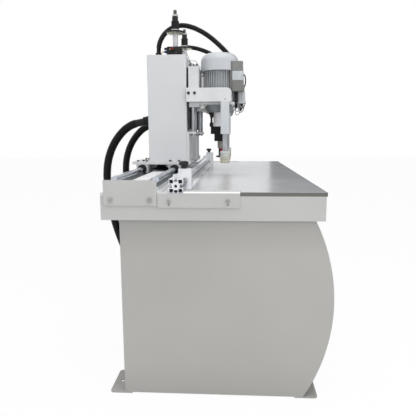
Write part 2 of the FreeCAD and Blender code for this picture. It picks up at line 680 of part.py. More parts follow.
def fence_beam():
    length = ("-angle_face - overrun", "angle_face + overrun")
    block = slab("-angle_face", "angle_face", "beam_front", "beam_back", "beam_bottom", "beam_top")
    tools = [bar("X", (length[0], "beam_middle", "beam_core"), "beam_core_radius",
                 "2 * (angle_face + overrun)")]
    for sign in signs:
        mouth = (f"{sign}(beam_size / 2 - slot_lip)", f"{sign}(beam_size / 2 + overrun)")
        inner = (f"{sign}(beam_size / 2 - slot_depth)", mouth[0])
        for (first, second), width in ((mouth, "slot_mouth"), (inner, "slot_width")):
            low, high = (second, first) if sign else (first, second)
            tools.append(slab(*length, f"beam_middle + {low}", f"beam_middle + {high}",
                              f"beam_core - {width} / 2", f"beam_core + {width} / 2"))
            tools.append(slab(*length, f"beam_middle - {width} / 2", f"beam_middle + {width} / 2",
                              f"beam_core + {low}", f"beam_core + {high}"))
        for other in signs:
            far_edge = "beam_size / 2 - corner_wall"
            near_edge = f"{far_edge} - corner_cavity"
            across = sorted((f"{sign}({near_edge})", f"{sign}({far_edge})"), key=worth)
            height = sorted((f"{other}({near_edge})", f"{other}({far_edge})"), key=worth)
            tools.append(slab(*length, f"beam_middle + {across[0]}", f"beam_middle + {across[1]}",
                              f"beam_core + {height[0]}", f"beam_core + {height[1]}"))
    keep("fence_beam", cut(block, *tools))


def fence_stop(side):
    """A stop block with its hanging plate and the nut that holds it in the beam's top slot."""
    left, right = "-stop_length / 2", "stop_length / 2"
    base = slab(left, right, "stop_front", "stop_back", "stop_base", "stop_base + stop_base_thick")
    block = slab(left, right, "stop_front", "stop_block_back", "stop_base", "stop_block_top")
    plate = slab(left, right, "stop_front", "stop_front + stop_plate_thick",
                 "beam_top - stop_plate_drop", "stop_base")
    under_lip = "beam_top - slot_lip - stop_gap"
    neck = slab(left, right, "beam_middle - nut_neck / 2", "beam_middle + nut_neck / 2", under_lip,
                "stop_base")
    nut = slab(left, right, "beam_middle - nut_width / 2", "beam_middle + nut_width / 2",
               f"{under_lip} - nut_thick", under_lip)
    stud_hole = post("0", "knob_middle", "stop_block_top - knob_stud_length - stop_gap",
                     "stop_block_top + overrun", "knob_stud + bearing_fit")
    stop = cut(fuse(base, block, plate, neck, nut), stud_hole)
    stop = rounded(stop, "table_chamfer", lambda edge: upright(edge)
                   and edge.BoundBox.YMin < worth("stop_front + panel_gap"))
    keep(f"fence_stop_{side}", stop, f"stop_{side}_x")


def stop_knob(side):
    """A six-lobed hand knob over its hub, with the stud below it."""
    body = new_body("knob")
    bottom = "stop_block_top + knob_hub_height"
    pad(body, disc_sketch(body, [("0", "0", "knob_stud")], "stop_block_top - knob_stud_length"),
        "knob_stud_length + knob_hub_height")
    pad(body, disc_sketch(body, [("0", "0", "knob_hub")], "stop_block_top + stop_gap"),
        "knob_hub_height - stop_gap")
    grip = pad(body, disc_sketch(body, [("0", "0", "knob_radius")], bottom), "knob_height")
    round_edges(body, grip, "knob_lobe / 2", lambda edge: abs(edge.Length - worth(
        "2 * knob_radius") * math.pi) < worth("panel_gap"))
    notch = disc_sketch(body, [("knob_radius + knob_lobe / 2", "0", "knob_lobe")],
                        f"{bottom} + knob_height + overrun")
    repeat(body, pocket(body, notch, "knob_height + 2 * overrun"), "6")
    keep(f"stop_knob_{side}", body, f"stop_{side}_x", "knob_middle")


# Carriages and columns
heads = ("a", "b")


def head_x(head):
    return f"head_{head}_x"


def carriage_plate(head):
    body = new_body("carriage")
    corners = [("-carriage_half", "carriage_front"), ("carriage_half", "carriage_front"),
               ("carriage_half", "carriage_back"), ("-carriage_half", "carriage_back")]
    plate = pad(body, outline(body, "XY_Plane", corners, "carriage_bottom"), "carriage_thick")
    round_edges(body, plate, "table_chamfer", upright)
    stem = disc_sketch(body, [("0", "brake_middle", "brake_stem + bearing_fit")], "carriage_top")
    pocket(body, stem, "carriage_thick + overrun")
    boss = cut(post("0", "brake_middle", "brake_top + stop_gap", "carriage_bottom", "brake_boss"),
               post("0", "brake_middle", "brake_top - overrun", "carriage_bottom + overrun",
                    "brake_stem + bearing_fit"))
    pieces = [body, boss]
    for rail in ("rail_back", "rail_front"):
        for sign in signs:
            outer = f"{sign}(carriage_half - plate_screw_edge)"
            inner = f"{sign}(carriage_half - plate_screw_edge - plate_screw_step)"
            for x, y in ((outer, f"{rail} - plate_screw_across"), (inner, rail),
                         (outer, f"{rail} + plate_screw_across")):
                head_screw = post(x, y, "carriage_top", "carriage_top + plate_screw_thick",
                                  "plate_screw_head")
                socket = post(x, y, "carriage_top + plate_screw_thick / 2",
                              "carriage_top + plate_screw_thick + overrun", "plate_screw_head / 2")
                pieces.append(cut(head_screw, socket))
    keep(f"carriage_plate_{head}", group(*pieces), head_x(head))


def bearing_blocks(head):
    pieces = []
    for rail in ("rail_back", "rail_front"):
        for side in ends:
            bore = bar("X", ("-carriage_half", rail, "rail_height"), "rail_radius + bearing_fit",
                       "2 * carriage_half")
            mouth = slab("-carriage_half", "carriage_half", f"{rail} - bearing_mouth / 2",
                         f"{rail} + bearing_mouth / 2", "bearing_bottom - overrun - seal_thick",
                         "rail_height")
            outer = "carriage_half - seal_thick"
            low, high = mirrored(side, f"{outer} - bearing_length", outer)
            block = slab(low, high, f"{rail} - bearing_width / 2", f"{rail} + bearing_width / 2",
                         "bearing_bottom", "carriage_bottom")
            pieces.append(cut(block, fuse(bore, mouth)))
            low, high = mirrored(side, outer, "carriage_half")
            seal = bar("X", (low, rail, "rail_height"), "seal_radius", "seal_thick")
            pieces.append(cut(seal, fuse(bore, mouth)))
    keep(f"bearing_blocks_{head}", group(*pieces), head_x(head))


def carriage_brake(head):
    disc = post("0", "brake_middle", "brake_bar_top + brake_gap", "brake_top", "brake_radius")
    stem = post("0", "brake_middle", "brake_top", "carriage_top", "brake_stem")
    keep(f"carriage_brake_{head}", fuse(disc, stem), head_x(head))


def column_cover(head):
    wall = "column_half - column_wall"
    shell = rounded(slab("-column_half", "column_half", "column_front", "column_back", "carriage_top",
                         "column_top"), "column_corner", upright)
    inside = slab(f"-({wall})", wall, "column_front + column_wall", "column_back - column_wall",
                  "carriage_top - overrun", "column_top - column_wall")
    window = slab("-window_half", "window_half", "column_front - overrun",
                  "column_front + column_wall + overrun", "window_bottom", "window_top")
    lean = tilted(-number("collar_tilt"))
    back = "4 * collar_radius"
    hose_hole = bar("Z", ("0", f"hose_y - {back} * cos(collar_tilt)",
                          f"hose_top + {back} * sin(collar_tilt)"), "hose_bore", back, lean)
    conduit_hole = post("gland_x", "gland_y", "column_top - column_wall - overrun",
                        "lid_top + overrun", "conduit_bore")
    stud_hole = post("0", "depth_y", "column_top - column_wall - overrun", "lid_top + overrun",
                     "stud_radius + stud_fit")
    lid = slab("-(column_half - lid_inset)", "column_half - lid_inset", "column_front + lid_inset",
               "column_back - lid_inset", "column_top - overrun / 2", "lid_top")
    cover = cut(fuse(shell, rounded(lid, "column_corner", upright)), inside, window, hose_hole,
                conduit_hole, stud_hole)
    front = slab("-column_half", "column_half", "guide_face", "column_front", "carriage_top",
                 "foot_plate_top")
    shelf = slab("-bracket_half", "bracket_half", "bracket_front", "guide_face",
                 "foot_plate_top - bracket_thick", "foot_plate_top")
    rods = [post(f"{sign}(guide_rod_offset)", "guide_rod_y", "foot_plate_top - 2 * bracket_thick",
                 "foot_plate_top + overrun", "guide_rod_radius") for sign in signs]
    keep(f"column_cover_{head}", group(cover, cut(fuse(front, shelf), *rods)), head_x(head))


def slide_guides(head):
    pieces = []
    for sign in signs:
        x = f"{sign}(guide_rod_offset)"
        pieces.append(post(x, "guide_rod_y", "foot_plate_top - bracket_thick", "guide_rod_top",
                           "guide_rod_radius"))
        pieces.append(post(x, "guide_rod_y", "foot_plate_top - bracket_thick - cap_thick",
                           "foot_plate_top - bracket_thick", "cap_radius"))
        middle = f"{sign}(slide_rail_offset)"
        pieces.append(slab(f"{middle} - slide_rail_half", f"{middle} + slide_rail_half", "guide_face",
                           "column_front", "slide_rail_bottom", "housing_top"))
    keep(f"slide_guides_{head}", group(*pieces), head_x(head))


def guide_housing(head):
    block = slab("-housing_half", "housing_half", "housing_front", "guide_face", "housing_bottom",
                 "housing_top")
    block = rounded(block, "column_corner", lambda edge: upright(edge)
                    and edge.BoundBox.YMax < worth("housing_front + overrun"))
    bores = [post(f"{sign}(guide_rod_offset)", "guide_rod_y", "housing_bottom - overrun",
                  "guide_rod_top", "guide_rod_radius") for sign in signs]
    keep(f"guide_housing_{head}", cut(block, *bores), head_x(head))


def clamp_bracket(head):
    """Two upright side plates with a rounded front corner, each held by two socket screws."""
    pieces = []
    for side in ends:
        inner, outer = mirrored(side, "housing_half", "housing_half + clamp_plate_thick")
        body = new_body("bracket")
        corners = [("-clamp_plate_front", "housing_bottom"), ("column_front", "housing_bottom"),
                   ("column_front", "clamp_plate_top"), ("-clamp_plate_front", "clamp_plate_top")]
        plate = pad(body, outline(body, "YZ_Plane", corners, inner), "clamp_plate_thick")
        round_edges(body, plate, "clamp_corner",
                    lambda edge: edge.BoundBox.XLength > edge.BoundBox.YLength + edge.BoundBox.ZLength
                    and edge.BoundBox.YMin < 0
                    and edge.BoundBox.ZMin > worth("clamp_plate_top - overrun"))
        pieces.append(body)
        for step in ("0", "socket_pitch"):
            y = f"column_front - socket_back - {step}"
            z = "clamp_plate_top - socket_drop"
            low, high = mirrored(side, "housing_half + clamp_plate_thick",
                                 "housing_half + clamp_plate_thick + socket_head / 2")
            cap = bar("X", (low, y, z), "socket_head", "socket_head / 2")
            low, high = mirrored(side, "housing_half + clamp_plate_thick + socket_head / 4",
                                 "housing_half + clamp_plate_thick + socket_head")
            pieces.append(cut(cap, bar("X", (low, y, z), "socket_head / 2", f"({high}) - ({low})")))
    keep(f"clamp_bracket_{head}", group(*pieces), head_x(head))


def clamp_cylinders(head):
    """Two square hold-down cylinders that hang under the side plates."""
    pieces = []
    for sign in signs:
        x = f"{sign}(clamp_x)"
        block = slab(f"{x} - clamp_width / 2", f"{x} + clamp_width / 2", "clamp_y - clamp_depth / 2",
                     "clamp_y + clamp_depth / 2", "clamp_bottom", "housing_bottom")
        block = rounded(block, "clamp_edge", upright)
        bore = post(x, "clamp_y", "clamp_bottom + bush_height", "housing_bottom - clamp_head",
                    "piston_radius + slide_fit")
        bush = post(x, "clamp_y", "clamp_bottom - overrun", "clamp_bottom + bush_height + overrun",
                    "plunger_radius + slide_fit")
        pieces.append(cut(block, fuse(bore, bush)))
    keep(f"clamp_cylinders_{head}", group(*pieces), head_x(head))


def clamp_plunger(head, side):
    """A piston rod and the clear foot on its end."""
    x = "-clamp_x" if side == "left" else "clamp_x"
    rod = fuse(post(x, "clamp_y", "clamp_foot_bottom + clamp_foot_floor", "piston_top",
                    "plunger_radius"),
               post(x, "clamp_y", "piston_top - piston_height", "piston_top", "piston_radius"))
    cup = post(x, "clamp_y", "clamp_foot_bottom", "clamp_foot_top", "clamp_foot_radius")
    cup = rounded(cup, "clamp_edge", lambda edge: abs(edge.Length - worth(
        "2 * clamp_foot_radius") * math.pi) < worth("panel_gap"))
    foot = cut(cup, post(x, "clamp_y", "clamp_foot_bottom + clamp_foot_floor",
                         "clamp_foot_top + overrun", "plunger_radius"))
    keep(f"clamp_plunger_{side}_{head}", group(rod, foot), head_x(head))


# Boring unit
def motor_carrier(head):
    plate = slab("-carrier_half", "carrier_half", "-carrier_front", "block_front", "carrier_bottom",
                 "carrier_top")
    plate = rounded(plate, "clamp_edge * 2", lambda edge: upright(edge) and edge.BoundBox.YMin < 0)
    block = slab("-carrier_half", "carrier_half", "block_front", "guide_face - block_gap",
                 "block_bottom", "carrier_top")
    arm = slab("-arm_half", "arm_half", "guide_face - block_gap", "arm_back", "block_bottom",
               "carrier_top")
    bores = [post(f"{sign}(guide_rod_offset)", "guide_rod_y", "block_bottom - overrun",
                  "carrier_top + overrun", "guide_rod_radius + slide_fit") for sign in signs]
    bores.append(post("0", "axis_y", "carrier_bottom - overrun", "carrier_top + overrun",
                      "motor_bore"))
    bores.append(post("0", "lift_y", "block_bottom - overrun", "carrier_top + overrun", "lift_rod"))
    plunger_top = "lift_top - lift_cap - overrun"
    rod = fuse(post("0", "lift_y", "block_bottom", plunger_top, "lift_rod"),
               post("0", "lift_y", f"{plunger_top} - lift_piston", plunger_top,
                    "lift_radius - lift_wall - slide_fit"))
    keep(f"motor_carrier_{head}", group(cut(fuse(plate, block, arm), *bores), rod), head_x(head))


def lift_cylinder(head):
    tube = post("0", "lift_y", "lift_bottom", "lift_top", "lift_radius")
    cavity = post("0", "lift_y", "lift_bottom + lift_cap", "lift_top - lift_cap",
                  "lift_radius - lift_wall")
    mouth = post("0", "lift_y", "lift_bottom - overrun", "lift_bottom + lift_cap + overrun",
                 "lift_rod + slide_fit")
    hanger = slab("-lift_cap_half", "lift_cap_half", "lift_y - lift_radius", "lift_y + lift_radius",
                  "lift_top", "column_top - column_wall")
    keep(f"lift_cylinder_{head}", group(cut(tube, fuse(cavity, mouth)), hanger), head_x(head))


def motor(head):
    """Housing with its end shields and upright cooling fins."""
    body = new_body("motor")
    flange_top = "carrier_top + flange_height"
    bore = "motor_shaft + shaft_fit"
    section = [(bore, "carrier_top"), ("flange_radius", "carrier_top"), ("flange_radius", flange_top),
               ("core_radius", flange_top), ("core_radius", "shield_bottom"),
               ("shield_radius", "shield_bottom"), ("shield_radius", "motor_top"), (bore, "motor_top"),
               (bore, "shield_bottom"), ("stator_bore", "shield_bottom"), ("stator_bore", flange_top),
               (bore, flange_top)]
    revolve(body, outline(body, "XZ_Plane", section))
    edge = "fin_thick / 2"
    profile = [("core_radius - fin_thick", f"-{edge}"), ("fin_radius", f"-{edge}"),
               ("fin_radius", edge), ("core_radius - fin_thick", edge)]
    fin = pad(body, outline(body, "XY_Plane", profile, flange_top), f"shield_bottom - ({flange_top})")
    repeat(body, fin, "fin_count")
    keep(f"motor_{head}", body, head_x(head), "axis_y")


def fan_cover(head):
    body = new_body("cover")
    inner = "fan_cover_radius - fan_cover_wall"
    under = "fan_cover_top - fan_cover_wall"
    section = [("fan_cover_radius", "shield_bottom"), ("fan_cover_radius", "fan_cover_top"),
               ("0", "fan_cover_top"), ("0", under), (inner, under), (inner, "shield_bottom")]
    cup = revolve(body, outline(body, "XZ_Plane", section))

    def ring_edge(radius, height):
        return lambda edge: (abs(edge.BoundBox.ZMax - worth(height)) < worth("panel_gap")
                             and edge.BoundBox.ZLength < worth("panel_gap")
                             and abs(edge.BoundBox.XMax - worth(radius)) < worth("panel_gap"))
    dome = round_edges(body, cup, "dome_radius", ring_edge("fan_cover_radius", "fan_cover_top"))
    round_edges(body, dome, "dome_radius - fan_cover_wall", ring_edge(inner, under))
    edge = "grille_slot / 2"
    profile = [("grille_inner", f"-{edge}"), ("grille_outer", f"-{edge}"), ("grille_outer", edge),
               ("grille_inner", edge)]
    slot = pocket(body, outline(body, "XY_Plane", profile, "fan_cover_top + overrun"),
                  "fan_cover_wall + 2 * overrun")
    repeat(body, slot, "grille_count")
    keep(f"fan_cover_{head}", body, head_x(head), "axis_y")


def terminal_box(head):
    box = new_body("box")
    corners = [("-box_front", "box_bottom"), ("-box_back", "box_bottom"), ("-box_back", "box_top"),
               ("box_lean - box_front", "box_top")]
    block = pad(box, outline(box, "YZ_Plane", corners, "-box_half"), "2 * box_half")
    round_edges(box, block, "box_edge", lambda edge: edge.BoundBox.YMax < -worth("box_back"))
    lower = rounded(slab("-lower_half", "lower_half", "-lower_front", "-lower_back", "lower_bottom",
                         "box_bottom"), "box_edge", upright)
    tools = [post("0", "axis_y", "lower_bottom - overrun", "box_top + overrun", "fin_radius + box_gap"),
             post("0", "axis_y", "shield_bottom - box_gap", "box_top + overrun",
                  "fan_cover_radius + box_gap")]
    elbow = fuse(bar("X", ("box_half", "elbow_y", "elbow_top - elbow_drop"), "elbow_radius",
                     "elbow_x - box_half"),
                 post("elbow_x", "elbow_y", "elbow_top - elbow_drop", "elbow_top", "elbow_radius"))
    hole = post("elbow_x", "elbow_y", "elbow_top - elbow_drop", "elbow_top + overrun", "conduit_bore")
    keep(f"terminal_box_{head}", group(cut(box, *tools), lower, cut(elbow, hole, *tools)), head_x(head))


def gearbox(head):
    """Bell and quill under the motor, then the housing that holds the three spindles."""
    def ring(bottom, top, radius, bore):
        return cut(post("0", "axis_y", bottom, top, radius),
                   post("0", "axis_y", f"{bottom} - overrun", f"{top} + overrun", bore))
    bell = cut(cone("0", "axis_y", "bell_bottom", "carrier_bottom", "bell_radius", "bell_top_radius"),
               post("0", "axis_y", "bell_bottom - overrun", "carrier_bottom + overrun", "quill_bore"))
    quill = ring("ring_top", "bell_bottom", "quill_radius", "quill_bore")
    collar = ring("ring_bottom", "ring_top", "quill_ring_radius", "quill_bore")
    adapter = slab("-adapter_half", "adapter_half", "axis_y - adapter_half", "axis_y + adapter_half",
                   "adapter_bottom", "ring_bottom")
    adapter = cut(rounded(adapter, "gearbox_edge", upright),
                  post("0", "axis_y", "adapter_bottom - overrun", "ring_bottom + overrun",
                       "quill_bore"))
    case = rounded(slab("-gearbox_half", "gearbox_half", "-gearbox_front", "gearbox_back",
                        "gearbox_bottom", "adapter_bottom"), "gearbox_edge", upright)
    inside = slab("-(gearbox_half - gearbox_wall)", "gearbox_half - gearbox_wall",
                  "-gearbox_front + gearbox_wall", "gearbox_back - gearbox_wall",
                  "gearbox_bottom + gearbox_wall", "adapter_bottom - gearbox_wall")
    drills = [post("0", "axis_y", "gearbox_bottom - overrun", "adapter_bottom + overrun",
                   "centre_shaft + shaft_fit")]
    drills += [post(f"{sign}(spindle_pitch / 2)", "side_y", "gearbox_bottom - overrun",
                    "gear_bottom", "side_shaft + shaft_fit") for sign in signs]
    rings = [ring(f"{low} - bearing_ring_height", low, "quill_bore", "motor_shaft + shaft_fit")
             for low in ("bell_bottom", "ring_bottom + bearing_ring_height")]
    keep(f"gearbox_{head}", group(bell, quill, collar, adapter, cut(case, inside, *drills), *rings),
         head_x(head))


def involute(base, radius):
    """How far the flank has turned from its root at a radius, in radians."""
    slope = math.sqrt(max((radius / base) ** 2 - 1, 0))
    return slope - math.atan(slope)


# Points of a tooth's flank between the base circle and the tip.
flank_shares = (0, 0.35, 0.7, 1)


def gear(phase):
    """A spur gear about the upright axis, with one tooth's middle at the phase, in degrees."""
    teeth = int(number("gear_teeth"))
    pitch = number("gear_distance") / 2
    module = 2 * pitch / teeth
    base = pitch * math.cos(math.radians(20))
    tip = pitch + module - number("gear_clearance") / 2
    root = pitch - module - number("gear_clearance")
    half = math.pi / teeth / 2 - number("gear_backlash") / pitch / 2
    spots = []
    for tooth in range(teeth):
        middle = math.radians(phase) + 2 * math.pi * tooth / teeth
        flank = [(root, half + involute(base, pitch))]
        for share in flank_shares:
            radius = base + (tip - base) * share
            flank.append((radius, half + involute(base, pitch) - involute(base, radius)))
        spots += [(radius, middle - angle) for radius, angle in flank]
        spots += [(radius, middle + angle) for radius, angle in reversed(flank)]
    low = number("gear_bottom")
    corners = [FreeCAD.Vector(radius * math.cos(angle), radius * math.sin(angle), low)
               for radius, angle in spots]
    face = Part.Face(Part.makePolygon(corners + corners[:1]))
    wheel = doc.addObject("Part::Feature", "gear")
    wheel.Shape = face.extrude(FreeCAD.Vector(0, 0, number("gear_height")))
    return wheel


def spindle_centre(head):
    """Rotor shaft with rotor, cooling fan, driving gear and chuck, and the cup bit in the chuck."""
    chuck_top = "gearbox_bottom - stop_gap"
    parts = [post("0", "0", "chuck_bottom", chuck_top, "centre_chuck"),
             post("0", "0", chuck_top, "ring_bottom", "centre_shaft"),
             post("0", "0", "ring_bottom", "shaft_top", "motor_shaft"),
             post("0", "0", "rotor_bottom", "rotor_top", "rotor_radius"),
             post("0", "0", "cooling_bottom", "cooling_bottom + blade_thick", "cooling_radius"),
             gear(0)]
    count = int(number("blade_count"))
    for index in range(count):
        blade = slab("motor_shaft / 2", "cooling_radius - blade_thick", "-blade_thick / 2",
                     "blade_thick / 2", "cooling_bottom", "cooling_bottom + cooling_height")
        turned = group(blade)
        turned.Placement.Rotation = FreeCAD.Rotation(FreeCAD.Vector(0, 0, 1), 360 * index / count)
        parts.append(turned)
    rotor = fuse(*parts)
    cutter = fuse(post("0", "0", "cup_bottom", "cup_bottom + cup_height", "cup_radius"),
                  post("0", "0", "cup_bottom", "chuck_bottom", "cup_shank"),
                  cone("0", "0", "cup_bottom - cup_point", "cup_bottom", "cup_point / 6",
                       "cup_point"))
    notches = [slab(f"{sign}(cup_radius / 2) - cup_radius / 4", f"{sign}(cup_radius / 2) + cup_radius / 4",
                    "-cup_notch" if sign else "0", "0" if sign else "cup_notch",
                    "cup_bottom - overrun", "cup_bottom + cup_height + overrun") for sign in signs]
    keep(f"spindle_centre_{head}", group(rotor, cut(cutter, *notches)), head_x(head), "axis_y")


def spindle_side(head, side):
    """A driven spindle with its gear, chuck and dowel bit."""
    x = "-spindle_pitch / 2" if side == "left" else "spindle_pitch / 2"
    direction = math.degrees(math.atan2(-number("spindle_offset"), worth(x)))
    half_pitch = 180 / number("gear_teeth")
    chuck_top = "gearbox_bottom - stop_gap"
    shaft = fuse(post("0", "0", "chuck_bottom", chuck_top, "side_chuck"),
                 post("0", "0", chuck_top, "side_shaft_top - overrun", "side_shaft"),
                 gear(2 * direction + 180 + half_pitch))
    bit = fuse(post("0", "0", "dowel_bottom + dowel_point", "chuck_bottom", "dowel_radius"),
               post("0", "0", "chuck_bottom - dowel_collar_height", "chuck_bottom", "dowel_collar"),
               cone("0", "0", "dowel_bottom", "dowel_bottom + dowel_point", "dowel_radius / 8",
                    "dowel_radius"))
    keep(f"spindle_{side}_{head}", group(shaft, bit), f"{head_x(head)} + {x}", "side_y")


# Depth stop
# The air valves on the block's side: across it and up it.
valve_shares = ((0.36, 0.55), (0.64, 0.3), (0.86, 0.5))


def depth_stop(head):
    """The block on the column, its hollow post with the scale disc, and three air fittings."""
    bore = "stud_radius + stud_fit"
    block = rounded(slab("-top_block_half", "top_block_half", "top_block_front", "top_block_back",
                         "lid_top", "top_block_top"), "top_block_edge",
                    lambda edge: upright(edge) or edge.BoundBox.ZMin > worth("top_block_top - overrun"))
    hole = post("0", "depth_y", "lid_top - overrun", "disc_top + overrun", bore)
    pieces = [cut(block, hole),
              cut(post("0", "depth_y", "top_block_top", "post_top", "post_radius"), hole)]
    disc = fuse(post("0", "depth_y", "post_top + disc_lip", "disc_top", "disc_radius"),
                cone("0", "depth_y", "post_top", "post_top + disc_lip", "disc_radius - 2 * disc_lip",
                     "disc_radius"))
    pieces.append(cut(disc, hole))
    for across, rise in valve_shares:
        y = f"top_block_front + {across} * (top_block_back - top_block_front)"
        z = f"lid_top + {rise} * top_block_height"
        pieces.append(bar("X", ("-top_block_half - valve_length", y, z), "valve_radius",
                          "valve_length"))
    keep(f"depth_stop_{head}", group(*pieces), head_x(head))


def depth_sleeve(head):
    """The knurled sleeve on its stud, with the washer below and the lock nut above."""
    body = new_body("sleeve")
    pad(body, disc_sketch(body, [("0", "0", "sleeve_radius"), ("0", "0", "stud_radius")],
                                 "sleeve_bottom"), "sleeve_step - sleeve_bottom")
    pad(body, disc_sketch(body, [("0", "0", "sleeve_neck"), ("0", "0", "stud_radius")],
                          "sleeve_step"), "sleeve_top - sleeve_step")
    groove = disc_sketch(body, [("sleeve_radius + knurl_depth", "0", "2 * knurl_depth")],
                         "sleeve_step + overrun")
    repeat(body, pocket(body, groove, "sleeve_step - sleeve_bottom - overrun"), "knurl_count")
    nut_top = "sleeve_top + lock_nut_height"
    nut = cut(post("0", "0", "sleeve_top", nut_top, "lock_nut_radius"),
              post("0", "0", "sleeve_top - overrun", f"{nut_top} + overrun", "stud_radius"))
    washer = cut(post("0", "0", "disc_top + stop_gap", "sleeve_bottom", "washer_radius"),
                 post("0", "0", "disc_top", "sleeve_bottom + overrun", "stud_radius"))
    stud = post("0", "0", "stud_bottom", "stud_top", "stud_radius")
    keep(f"depth_sleeve_{head}", group(body, nut, washer, stud), head_x(head), "depth_y")


# Hoses and conduits
# Each route's middle points, in shares. For the rear hose: how far it swings out behind the column,
# how far down to its inlet, and how much of the inlet's shift along the table it has taken up.
hose_shares = [(0.426, 0.038, 0), (0.598, 0.081, 0), (0.762, 0.1405, 0), (0.89, 0.2126, 0),
               (0.975, 0.298, 0), (1, 0.4, 0), (0.971, 0.51, 0.06), (0.885, 0.624, 0.25),
               (0.774, 0.7315, 0.49), (0.663, 0.8145, 0.72), (0.538, 0.8953, 0.91)]
# For the top conduit: how far from the gland to the elbow along and across the table, and how much
# of the arch's rise above the gland.
conduit_shares = {
    "a": [(0.043, 0.033, 0.504), (0.109, 0.091, 0.734), (0.196, 0.174, 0.906), (0.283, 0.275, 1),
          (0.37, 0.391, 0.978), (0.478, 0.528, 0.835), (0.587, 0.664, 0.604), (0.696, 0.785, 0.317),
          (0.826, 0.896, 0.014), (0.935, 0.965, -0.295)],
    "b": [(0.022, 0.023, 0.533), (0.065, 0.066, 0.748), (0.13, 0.124, 0.907), (0.196, 0.192, 0.991),
          (0.283, 0.275, 1), (0.37, 0.391, 0.953), (0.478, 0.528, 0.804), (0.587, 0.664, 0.57),
          (0.717, 0.785, 0.271), (0.848, 0.896, -0.075), (0.935, 0.965, -0.449)],
}


def hose_route(head):
    shift = number(f"inlet_shift_{head}")
    lead, rise = number("hose_lead"), number("inlet_lead")
    out = math.radians(number("collar_tilt"))
    back = math.radians(number("inlet_tilt"))
    first = (0, number("hose_y"), number("hose_top"))
    last = (shift, number("inlet_y"), number("inlet_height"))
    route = [first, (0, first[1] + lead * math.cos(out), first[2] - lead * math.sin(out))]
    for swing, down, drift in hose_shares:
        route.append((drift * shift, first[1] + swing * number("hose_bulge"),
                      first[2] + down * (last[2] - first[2])))
    return route + [(shift, last[1] + rise * math.cos(back), last[2] + rise * math.sin(back)), last]


def conduit_route(head):
    lead = number(f"conduit_lead_{head}")
    first = (number("gland_x"), number("gland_y"), number("gland_top"))
    last = (number("elbow_x"), number("elbow_y"), number("elbow_top"))
    route = [first, (*first[:2], first[2] + lead)]
    for away, across, rise in conduit_shares[head]:
        route.append((first[0] + away * (last[0] - first[0]), first[1] + across * (last[1] - first[1]),
                      first[2] + rise * number(f"conduit_rise_{head}")))
    return route + [(*last[:2], last[2] + lead), last]


bend_share = 0.45


def bends(points):
    """Straight runs joined by tangent arcs: a list of (kind, length, data) along the route."""
    spots = [FreeCAD.Vector(*point) for point in points]
    pieces = []
    radii = []
    start = spots[0]
    for before, corner, after in zip(spots, spots[1:], spots[2:]):
        inward = (corner - before).normalize()
        outward = (after - corner).normalize()
        turn = inward.getAngle(outward)
        reach = bend_share * min((corner - before).Length, (after - corner).Length)
        radius = reach / math.tan(turn / 2)
        radii.append(radius)
        arc_start = corner - inward * reach
        pieces.append(("line", (arc_start - start).Length, (start, inward)))
        side = (outward - inward).normalize()
        centre = corner + side * (radius / math.cos(turn / 2))
        pieces.append(("arc", radius * turn, (centre, arc_start - centre, inward)))
        start = corner + outward * reach
    pieces.append(("line", (spots[-1] - start).Length, (start, (spots[-1] - spots[-2]).normalize())))
    return pieces, radii


def along(pieces, distance):
    """The point and the direction at a distance along the route."""
    for kind, length, data in pieces:
        if distance <= length or (kind, length, data) == pieces[-1]:
            break
        distance -= length
    if kind == "line":
        start, direction = data
        return start + direction * distance, direction
    centre, arm, direction = data
    angle = distance / arm.Length
    return (centre + arm * math.cos(angle) + direction * (arm.Length * math.sin(angle)),
            direction * math.cos(angle) - arm * (math.sin(angle) / arm.Length))


def ring_at(pieces, distance, radius):
    """A circle square to the route whose starting point keeps to the table's direction."""
    spot, direction = along(pieces, distance)
    steady = FreeCAD.Vector(1, 0, 0)
    ring = Part.Wire(Part.makeCircle(radius))
    turn = FreeCAD.Rotation(steady, direction.cross(steady), direction, "ZXY")
    ring.Placement = FreeCAD.Placement(spot, turn)
    return ring


# Where the four circles of one rib lie within its step.
rib_shares = (0.08, 0.3, 0.7, 0.92)


def ribbed_tube(name, points, radius, valley, bore, ribs):
    """A corrugated tube with its bore, whose ends are plain over one diameter."""
    pieces, radii = bends(points)
    total = sum(length for _, length, _ in pieces)
    plain = 2 * radius
    step = (total - 2 * plain) / ribs
    outer = [ring_at(pieces, 0, valley)]
    inner = [ring_at(pieces, 0, bore)]
    for index in range(ribs):
        low = plain + index * step
        outer += [ring_at(pieces, low + share * step, size)
                  for share, size in zip(rib_shares, (valley, radius, radius, valley))]
        inner.append(ring_at(pieces, low + step / 2, bore))
    outer.append(ring_at(pieces, total, valley))
    inner.append(ring_at(pieces, total, bore))
    walls = Part.makeLoft(outer, False, True).Faces + Part.makeLoft(inner, False, True).Faces
    caps = [Part.Face([outer[end], inner[end]], "Part::FaceMakerBullseye") for end in (0, -1)]
    shell = Part.Shell(walls + caps)
    shell.sewShape()
    solid = Part.Solid(shell)
    tube = doc.addObject("Part::Feature", name)
    tube.Shape = solid
    smooth = math.pi * (((radius + valley) / 2) ** 2 - bore ** 2) * total
    print(f"{name}: length {total:.1f}, least bend radius {min(radii):.1f}, "
          f"volume {abs(solid.Volume):.0f} against {smooth:.0f}")
    print("  radii", " ".join(f"{radius:.0f}" for radius in radii))
    return tube


def rear_hose(head):
    tube = ribbed_tube("hose", hose_route(head), number("hose_radius"), number("hose_valley"),
                       number("hose_bore"), int(number("hose_ribs")))
    keep(f"rear_hose_{head}", tube, head_x(head))


def top_conduit(head):
    tube = ribbed_tube("conduit", conduit_route(head), number("conduit_radius"), number("conduit_valley"),
                       number("conduit_bore"), int(number("conduit_ribs")))
    keep(f"top_conduit_{head}", tube, head_x(head))


# Where the air fittings stand across the guide housing's top.
fitting_shares = (0.24, 0.54, 0.84)


